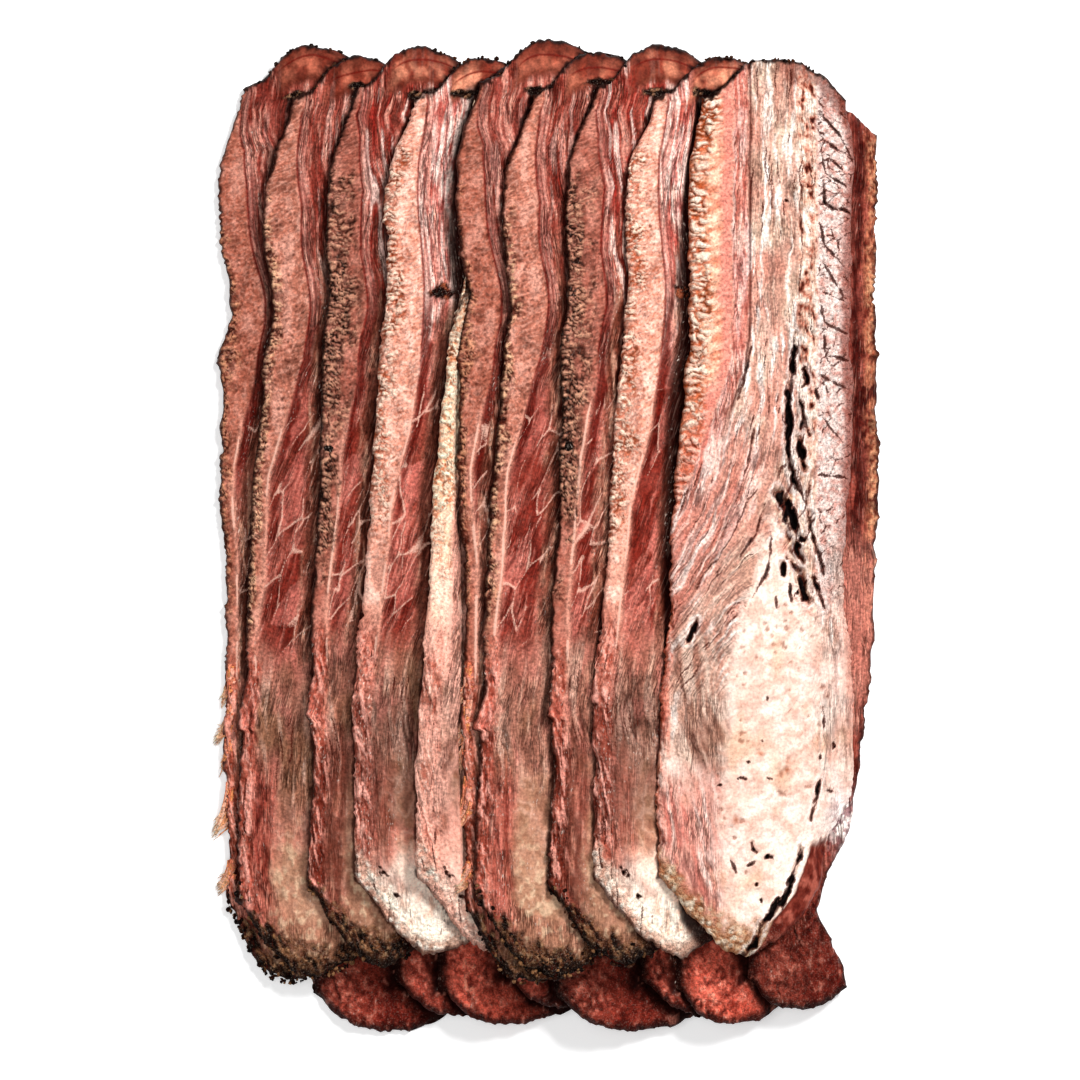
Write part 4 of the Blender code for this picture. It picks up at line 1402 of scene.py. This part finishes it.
    # grey grooves and torn red meat low on the left
    groove = band(w + 4.0 * blotch, -4.0, 9.0, 2.5) * band(s + 10.0 * blotch, 46.0, 86.0, 8.0)
    blend((182, 138, 120), 0.8 * groove)
    lay_wrinkles(ground, 0.85 * groove, w + 0.25 * s, (242, 216, 200), (112, 62, 46))
    rose = below(w + 5.0 * blotch, 4.0, 10.0) * band(s + 8.0 * broad, 8.0, 46.0, 7.0)
    blend((236, 172, 158), 0.8 * rose)
    lay_fibres(ground, 0.9 * rose, w + 0.25 * s, (255, 226, 216), (198, 92, 78), 73, 1.4, 0.5, 0.8)
    torn = below(a + 2.4 * mottle, 1.2, 3.2) * band(s, 12.0, 96.0, 5.0)
    lay_torn(ground, 0.9 * torn, (234, 160, 142), (164, 70, 50))

    # the brown border on the right
    border = below(b + 2.5 * wave + 1.5 * mottle, 0.8, 3.6)
    dusky = below(b + 2.0 * wave + 1.2 * mottle, 1.4, 3.6)
    tint((196, 134, 122), 0.6 * dusky, s + 20.0 * blotch, 100.0, 130.0)
    tint((150, 80, 66), 0.6 * border, s, 96.0, 130.0)
    blend((216, 158, 142), 0.7 * border * band(s, 56.0, 104.0, 12.0))
    edge_line = band(w, 36.0, 42.0, 2.0) * band(s, 50.0, 112.0, 10.0)
    lay_fibres(ground, 0.7 * edge_line, w + 0.1 * s, (242, 214, 202), (158, 96, 82),
               76, 1.1, 0.5, 0.8)
    lay_glassy_highlight(ground, w, s)

    # crumbs at the pointed end
    end = below(e + 8.0 * mottle, 3.0, 10.0) * below(w + 5.0 * blotch, 20.0, 27.0)
    lay_crumbs(ground, 0.9 * end, 1.25, ((204, 148, 108), (240, 208, 176), (255, 240, 220)), 85)
    tint((150, 88, 42), 0.7 * end, mottle, 0.1, 0.3)
    lip = band(w, 22.0, 40.0, 4.0) * below(e + 2.0 * mottle, 1.0, 4.0)
    blend((250, 226, 190), 0.7 * lip)

    # the domed end and its thin crust
    cap = below(g + 8.0 * mottle + 6.0 * blotch, 2.0, 9.0) * ramp(w, 20.0, 27.0)
    blend(CAP, 0.7 * cap)
    uneven = lay_ring(ground, (48, 20, 12))

    # the hollow in the middle, painted brown as its shade with light ridges, then the cracks and
    # the pits
    hollow = below(away_from(ground.w, s, HOLLOW)[0] + 1.6 * mottle, 1.6, 3.4)
    blend((176, 122, 98), 0.75 * hollow)
    slant = ground.w + 0.35 * (s - 110.0)
    fold = ridges(slant / 1.5, (s - 0.35 * ground.w) / 4.2, ground.seed + 95, 2)
    tint((248, 222, 202), 0.85 * hollow, fold, 0.35, 0.75)
    tint((74, 30, 18), 0.85 * hollow, 0.22 - fold, 0.0, 0.2)
    lift(hollow * (1.3 * fold - 1.3))
    golden = np.exp(-((ground.w - GOLDEN[0]) ** 2 + (s - GOLDEN[1]) ** 2) / 0.9)
    blend((206, 140, 62), 0.9 * golden)
    warp_x = 1.1 * ripple(1.3, 1.6, 90, 3)
    warp_y = 1.1 * ripple(1.5, 1.5, 97, 3)
    wide = ground.grain(1.6, 3.2, 93, 3)
    for half, path in CRACKS:
        bent = 0.7 if half < 0.35 else 1.2
        away, share = away_from(ground.w + bent * warp_x, s + bent * warp_y, path)
        taper = half * (0.35 + 0.9 * np.sqrt(np.sin(math.pi * np.clip(share, 0.0, 1.0))))
        taper *= 0.35 + 1.3 * ramp(wide, 0.3, 0.65)
        ground.crack = np.minimum(ground.crack, away - taper)
        inside = below(away, 0.4 * half, half + 0.14)
        lip = hill(away, half + 0.65, 0.4) * ramp(half, 0.2, 0.5)
        blend(WHITE, 0.6 * lip)
        lift(0.4 * lip - min(2.4, 2.6 * half) * inside)
    for pit in PITS:
        lay_pit(ground, *pit)
    for across, up, size in STAINS:
        stain = np.exp(-((ground.w - across) ** 2 + (s - up) ** 2) / size ** 2)
        tint((168, 92, 50), 0.85 * stain, mottle, -0.3, 0.1)
        lift(-0.4 * stain)
    outline = below(a + 1.2 * uneven, 0.1, 0.7)
    blend(AMBER, 0.5 * outline)

    # beyond the last crack the slice is as thin, red and grainy as the lower row
    past = ground.w - np.interp(s, *END_LINE) + 0.8 * mottle
    thin = ramp(past, 0.7, 1.3) * below(s + 3.0 * mottle, 29.0, 32.5)
    blend((134, 66, 54), thin)
    tint((196, 124, 108), 0.6 * thin, mottle, 0.03, 0.2)
    tint((92, 30, 22), 0.7 * thin, -mottle, 0.03, 0.2)
    lift(thin * (1.2 * mottle - 1.2 - ground.relief))
    ground.crack += 2.0 * thin * ramp(past, 1.3, 2.0)


ground = Ground(UPPER[-1], "face", FACE_SEED)
dress_face(ground)
ground.finish(upper_meat, "upper_slices")

# %% [markdown]
# ## The lower row
#
# The lower slices are darker: wet, red and grainy at their round ends, with a black rim. Painted
# light and shade rounds each end and darkens it beside the next. Only the last of them shows
# more: a strip of its right side and its foot.

# %% Dress the lower slices
# partly painted light: how much lighter or darker each lower slice is painted, in turn
LOBE_TONES = (0.9, 1.2, 1.55, 1.25)     # how light the slices are, in turn
LAST_TONE = 0.85
LAST_CURLS = ((170.0, 206.0), (128.0, 160.0), (212.0, 236.0))      # mm: where fat curls at its edge


def dress_lobe(ground, tone, following):
    """Relief and paint of a lower slice."""
    a, s, e, b = ground.a, ground.s, ground.e, ground.b
    blend, tint, lift, ripple = ground.blend, ground.tint, ground.lift, ground.ripple
    broad = ripple(4.0, 5.0, 33, 2)
    blotch = ripple(2.4, 3.0, 34, 3)
    grit = ripple(1.1, 1.5, 31, 3)
    ground.rim(4.0)
    ground.ragged(0.5, 0.8, 0.8, 0.0 if following else 0.9)
    end = below(e, 26.0, 42.0)
    puff = mound(a, 8.0, 7.0, e, 9.0, 11.0)
    lift(0.6 * blotch + 2.0 * puff)
    ground.paint[:] = shade(140, 56, 44)
    # painted light and shade: a lighter slice starts from a lighter colour
    ground.paint += (shade(176, 96, 80) - ground.paint) * max(tone - 1.0, 0.0)
    # the bulge painted lighter, partly as a painted highlight
    blend((190, 108, 92), 0.85 * puff)
    tint((170, 84, 68), 0.5, blotch, 0.0, 0.25)
    tint((110, 40, 30), 0.6, -blotch, 0.0, 0.25)
    blend((218, 140, 120), 0.6 * ramp(grit, 0.05, 0.24) * (0.25 + 0.75 * puff))
    tint((100, 34, 24), 0.6, -grit, 0.05, 0.24)
    lift(end * 1.2 * grit)
    ground.crumb = np.maximum(ground.crumb, 0.35 * end)
    lay_fibres(ground, 1.0 - end, a, (206, 120, 102), JUICE)
    # painted light and shade: the whole slice lighter or darker
    ground.tone(tone)
    rim = below(np.minimum(a, e) + 2.2 * grit, 0.6, 3.2)
    blend((52, 14, 8), 0.85 * rim)
    if following:
        clear = ground.clear_of(following)
        # painted shade: light in the middle of what shows, darker to both sides, with the relief
        # bulging alike
        share = a / np.maximum(a + np.maximum(clear, 0.0), 0.1)
        centre = np.sin(math.pi * np.clip(share, 0.0, 1.0))
        ground.tone(1.0 + end * (centre - 0.6))
        lift(2.4 * end * (centre - 0.6))
        # painted shadow beside the next lower slice's edge
        damp = below(clear + 1.6 * blotch, 0.8, 3.2 + 3.4 * ramp(e, 6.0, 20.0))
        blend((44, 10, 6), 0.9 * damp)
        ground.crumb *= 1.0 - damp
    else:
        edge = below(b + 2.0 * blotch, 2.6, 4.4)
        strip = ramp(s, 96.0, 110.0)
        tint((176, 104, 92), 0.75 * strip, blotch + 0.5 * grit, -0.3, 0.2)
        tint((204, 138, 108), 0.8 * edge * strip, grit + blotch, -0.2, 0.1)
        curly = edge * sum(band(s, low, high, 4.0) for low, high in LAST_CURLS)
        lay_curls(ground, 0.8 * curly * below(b, 1.8, 3.4), 1.0, (240, 190, 152), (128, 58, 36))
        dark = hill(b, 5.6 + 3.0 * broad, 1.0) * ramp(s, 60.0, 76.0)
        blend((92, 26, 18), 0.8 * dark)
        lay_fibres(ground, (1.0 - end) * (1.0 - strip), a, (236, 176, 160), (150, 66, 52),
                   59, 1.1, 0.6)
        streaky = end * ramp(s, 10.0, 26.0)
        lay_fibres(ground, 0.8 * streaky, a - 0.5 * s, (196, 104, 88), (80, 20, 14), 57, 1.2, 0.5)
        blend((222, 156, 140), 0.7 * band(s + 8.0 * blotch, 78.0, 124.0, 8.0))
        outline = below(b + 2.0 * grit, 0.2, 1.2)
        blend((64, 18, 10), 0.8 * outline)
        lay_glassy_highlight(ground, ground.x - FACE_LINE, ground.y - lays[UPPER[-1]].low)
    crease = ridges(ground.x / 4.5, ground.y / 7.0, ground.seed + 36, 3)
    tint((70, 20, 13), 0.6 * end * ramp(crease, 0.75, 0.95), broad, -0.05, 0.1)
    lift(-0.7 * end * ramp(crease, 0.7, 1.0))
    tint((226, 160, 142), 0.35 * end * ramp(grit, 0.14, 0.24), blotch, -0.05, 0.1)
    ground.wet = 0.3 + 0.35 * ramp(grit, 0.0, 0.2) + 0.15 * puff


for index, name in enumerate(LOWER):
    last = name == LOWER[-1]
    ground = Ground(name, "last" if last else "lobe", LOBE_SEED + SEED_APART * index)
    tone = LAST_TONE if last else LOBE_TONES[index % len(LOBE_TONES)]
    dress_lobe(ground, tone, None if last else LOWER[index + 1])
    ground.finish(lower_meat, "lower_slices")
print("dressed", len(LOWER), "lower slices")

# %% [markdown]
# ## Loose ends
#
# Torn fibres hang in locks from the left edge of each handful, pinkish orange at their roots and
# pale as straw at their tips. Grains of crust cling to the lower and the domed ends, and one
# peppercorn sits on the third slice of each handful. They break the clean outline. Each kind is
# one mesh of many small closed shapes, and takes its colours from the same attributes as the meat.

# %% Tools for the loose pieces
LOOSE_SEED = 11
chance = np.random.default_rng(LOOSE_SEED)


def surface(name, x, y):
    """Height of a slice's upper side at a place, in mm."""
    lay = lays[name]
    u = float(np.clip((x - lay.left(y)) / (lay.right(y) - lay.left(y)), 0.0, 1.0))
    v = float(np.clip((y - lay.tip(u)) / (lay.top(u) - lay.tip(u)), 0.0, 1.0))
    return float(lay.underside(np.array([u]), np.array([v]))[0, 0]) + THICKNESS


class Heap:
    """Many small closed shapes that become one piece."""

    def __init__(self):
        self.places, self.faces, self.paint = [], [], []

    def add(self, places, faces, paint):
        first = sum(len(group) for group in self.places)
        self.places.append(places)
        self.faces.extend(tuple(corner + first for corner in face) for face in faces)
        self.paint.append(paint)

    def strand(self, path, radii, colours, sides=5):
        """A tapered tube along a path, closed at both ends."""
        turn = np.arange(sides) * 2.0 * math.pi / sides
        along = np.gradient(path, axis=0)
        side = np.cross(along, (0.0, 0.0, 1.0))
        side /= np.linalg.norm(side, axis=1)[:, None]
        up = np.cross(side, along)
        up /= np.linalg.norm(up, axis=1)[:, None]
        rings = [point + radius * (np.cos(turn)[:, None] * s + np.sin(turn)[:, None] * u)
                 for point, radius, s, u in zip(path, radii, side, up)]
        faces = []
        for ring in range(len(path) - 1):
            for n in range(sides):
                low, after = ring * sides + n, ring * sides + (n + 1) % sides
                faces.append((low, after, after + sides, low + sides))
        faces.append(tuple(reversed(range(sides))))
        faces.append(tuple(range((len(path) - 1) * sides, len(path) * sides)))
        self.add(np.concatenate(rings), faces, np.repeat(colours, sides, axis=0))

    def finish(self, name, wet=0.4):
        """Make the mesh, with the attributes that the meat's material reads."""
        places = np.concatenate(self.places)
        mesh = bpy.data.meshes.new(name)
        mesh.from_pydata((places * MM).tolist(), [], self.faces)
        rgba = np.concatenate((np.concatenate(self.paint), np.ones((len(places), 1))), 1)
        store(mesh, "paint", "FLOAT_COLOR", rgba)
        store(mesh, "spot", "FLOAT_VECTOR", places)
        for kind, value in (("wet", wet), ("fibre", 0.0), ("crumb", 0.3), ("coarse", 1.0),
                            ("crack", CLEAR), ("vein", CLEAR)):
            store(mesh, kind, "FLOAT", np.full(len(places), value))
        piece = new_piece(name, mesh, upper_meat)
        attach(piece, "root")
        print(name, "has", len(mesh.polygons), "faces")


# %% Hang the fringe
# a lock's highest root and its tip, in mm above the pointed end, and how far the tip stands out
LOCKS = ((86.0, 74.5, 1.2), (76.0, 63.5, 2.2), (69.0, 57.5, 0.8), (55.0, 39.5, 3.6),
         (33.0, 24.5, 2.6))
STRANDS = 34                        # of a lock
STRAND_RADIUS = 0.55                # mm at the root
STRAND_POINTS = 7
ROOTS = (shade(250, 190, 168), shade(244, 164, 134), shade(242, 168, 118), shade(228, 140, 110))
TIP = shade(255, 250, 222)

fringe = Heap()
t = np.linspace(0.0, 1.0, STRAND_POINTS)
for name in UPPER[::HANDFUL]:
    lay = lays[name]
    for start, end, out in LOCKS:
        tip_x = float(lay.left(lay.low + end)) - out
        tip_z = surface(name, tip_x + out + 0.5, lay.low + end) - 2.2
        for _ in range(STRANDS):
            y = lay.low + chance.uniform(end + 0.25 * (start - end), start)
            x = float(lay.left(y)) + chance.uniform(0.3, 2.2)
            inward = np.clip((x - lay.left(y)) / 1.6, 0.0, 1.0)
            rounded = (THICKNESS - RIM_FLOOR) * (1.0 - math.sqrt(1.0 - (1.0 - inward) ** 2))
            z = surface(name, x, y) - rounded + chance.uniform(-0.2, 0.6)
            goal_x = tip_x + chance.normal(0.0, 0.35)
            goal_y = lay.low + end + chance.normal(0.8, 1.3)
            path = np.stack((x + (goal_x - x) * t ** 1.7, y + (goal_y - y) * t,
                             np.maximum(z + (tip_z - z) * t ** 1.4, 0.6)), 1)
            radii = STRAND_RADIUS * chance.uniform(0.6, 1.2) * (1.0 - 0.85 * t)
            root = ROOTS[chance.integers(0, len(ROOTS))]
            colours = root + (TIP - root) * (t ** 1.6)[:, None] * chance.uniform(0.2, 0.9)
            fringe.strand(path, radii, colours)
fringe.finish("edge_fringe")

# %% Scatter the grains of crust and the peppercorns
bpy.ops.mesh.primitive_ico_sphere_add(subdivisions=2, radius=1.0)
ball = bpy.context.object
BALL = np.array([vertex.co for vertex in ball.data.vertices])
BALL_FACES = [tuple(face.vertices) for face in ball.data.polygons]
bpy.data.objects.remove(ball, do_unlink=True)
GRAINS = ((0, 150), (1, 170), (2, 60), (5, 60), (6, 170), (7, 60))     # slice, how many below
GRAINS_AT_DOME = 26
CRUST_COLOURS = (shade(30, 14, 9), shade(56, 28, 18), shade(92, 58, 38), shade(160, 122, 90))


def grain_at(heap, x, y, z, radius, colour, uneven=0.35):
    """One lumpy grain."""
    lumps = 1.0 + uneven * (chance.random((len(BALL), 1)) - 0.5)
    shape = BALL * lumps * chance.uniform(0.6, 1.3, 3)
    heap.add(np.array((x, y, z)) + radius * shape, BALL_FACES, np.tile(colour, (len(BALL), 1)))


crumbs = Heap()


def cling(name, u, y, sunk, radii, kinds):
    """A grain of crust at a share of a slice's width, sunk in, in one of so many colours."""
    lay = lays[name]
    x = float(lay.left(y) + (lay.right(y) - lay.left(y)) * u)
    z = surface(name, x, y) - sunk
    grain_at(crumbs, x, y, z, chance.uniform(*radii), CRUST_COLOURS[chance.integers(0, kinds)])


for index, count in GRAINS:
    for _ in range(count):
        u = chance.uniform(0.0, 0.62)
        end = float(lays[UPPER[index]].tip(u))
        y = end + 6.0 * chance.random() ** 2 - 0.8
        cling(UPPER[index], u, y, 0.4 if y > end + 1.0 else 1.6, (0.25, 0.7), 4)
for name in UPPER:
    for _ in range(GRAINS_AT_DOME):
        u = chance.uniform(0.1, 0.95)
        y = float(lays[name].top(u)) - 0.8 * chance.random()
        cling(name, u, y, chance.uniform(0.6, 1.8), (0.3, 0.7), 3)
crumbs.finish("crust_crumbs")

PEPPERCORN = (2.1, 138.0, 1.25)     # mm: from the edge, above the pointed end, radius
PEPPER = shade(34, 24, 20)
peppercorns = Heap()
for name in UPPER[2::HANDFUL]:
    y = lays[name].low + PEPPERCORN[1]
    x = float(lays[name].left(y)) + PEPPERCORN[0]
    grain_at(peppercorns, x, y, surface(name, x, y) + 0.7, PEPPERCORN[2], PEPPER, 0.2)
peppercorns.finish("peppercorns", 0.8)

for sheet in blanks.values():
    bpy.data.objects.remove(sheet, do_unlink=True)

# %% [markdown]
# ## The table and the light
#
# The photo's meat stands on plain white. A large soft lamp shines from the upper right, low
# enough for every slice's edge to throw a short shadow on its neighbour to the left.

# %% Floor and lamps
FLOOR_SIDE, FLOOR_HEIGHT, FLOOR_GLOW = 6.0, -0.4 * MM, 0.32
WORLD_LIGHT = 0.16
LAMPS = (("key", (0.52, 0.52, 0.98), 17.0, 0.32),      # place in m, power in W, side in m
         ("fill", (-0.30, -0.25, 1.3), 7.6, 1.0))

bpy.ops.mesh.primitive_plane_add(size=FLOOR_SIDE, location=(0.0, 0.0, FLOOR_HEIGHT))
floor = bpy.context.object
floor.name = "floor"
white = bpy.data.materials.new("floor_white")
white.use_nodes = True
inputs = white.node_tree.nodes["Principled BSDF"].inputs
for socket, value in (("Base Color", (0.98, 0.98, 0.98, 1.0)), ("Roughness", 0.9),
                      ("Emission Color", (1.0, 1.0, 1.0, 1.0)), ("Emission Strength", FLOOR_GLOW)):
    inputs[socket].default_value = value
floor.data.materials.append(white)

world = bpy.data.worlds.new("studio")
world.use_nodes = True
inputs = world.node_tree.nodes["Background"].inputs
inputs["Color"].default_value = (1.0, 1.0, 1.0, 1.0)
inputs["Strength"].default_value = WORLD_LIGHT
bpy.context.scene.world = world

for name, place, power, side in LAMPS:
    light = bpy.data.lights.new(name, "AREA")
    light.energy, light.size = power, side
    lamp = bpy.data.objects.new(name, light)
    bpy.context.scene.collection.objects.link(lamp)
    lamp.location = Vector(place)
    lamp.rotation_euler = (-Vector(place)).to_track_quat("-Z", "Y").to_euler()
bpy.context.scene.view_settings.view_transform = "Standard"

# %% Sizes and the end
triangles = {}
for obj in bpy.data.objects:
    if obj.type == "MESH" and obj.name.endswith("_meat"):
        obj.data.calc_loop_triangles()
        triangles[obj.name] = len(obj.data.loop_triangles)
print("triangles:", triangles, "in all", sum(triangles.values()))
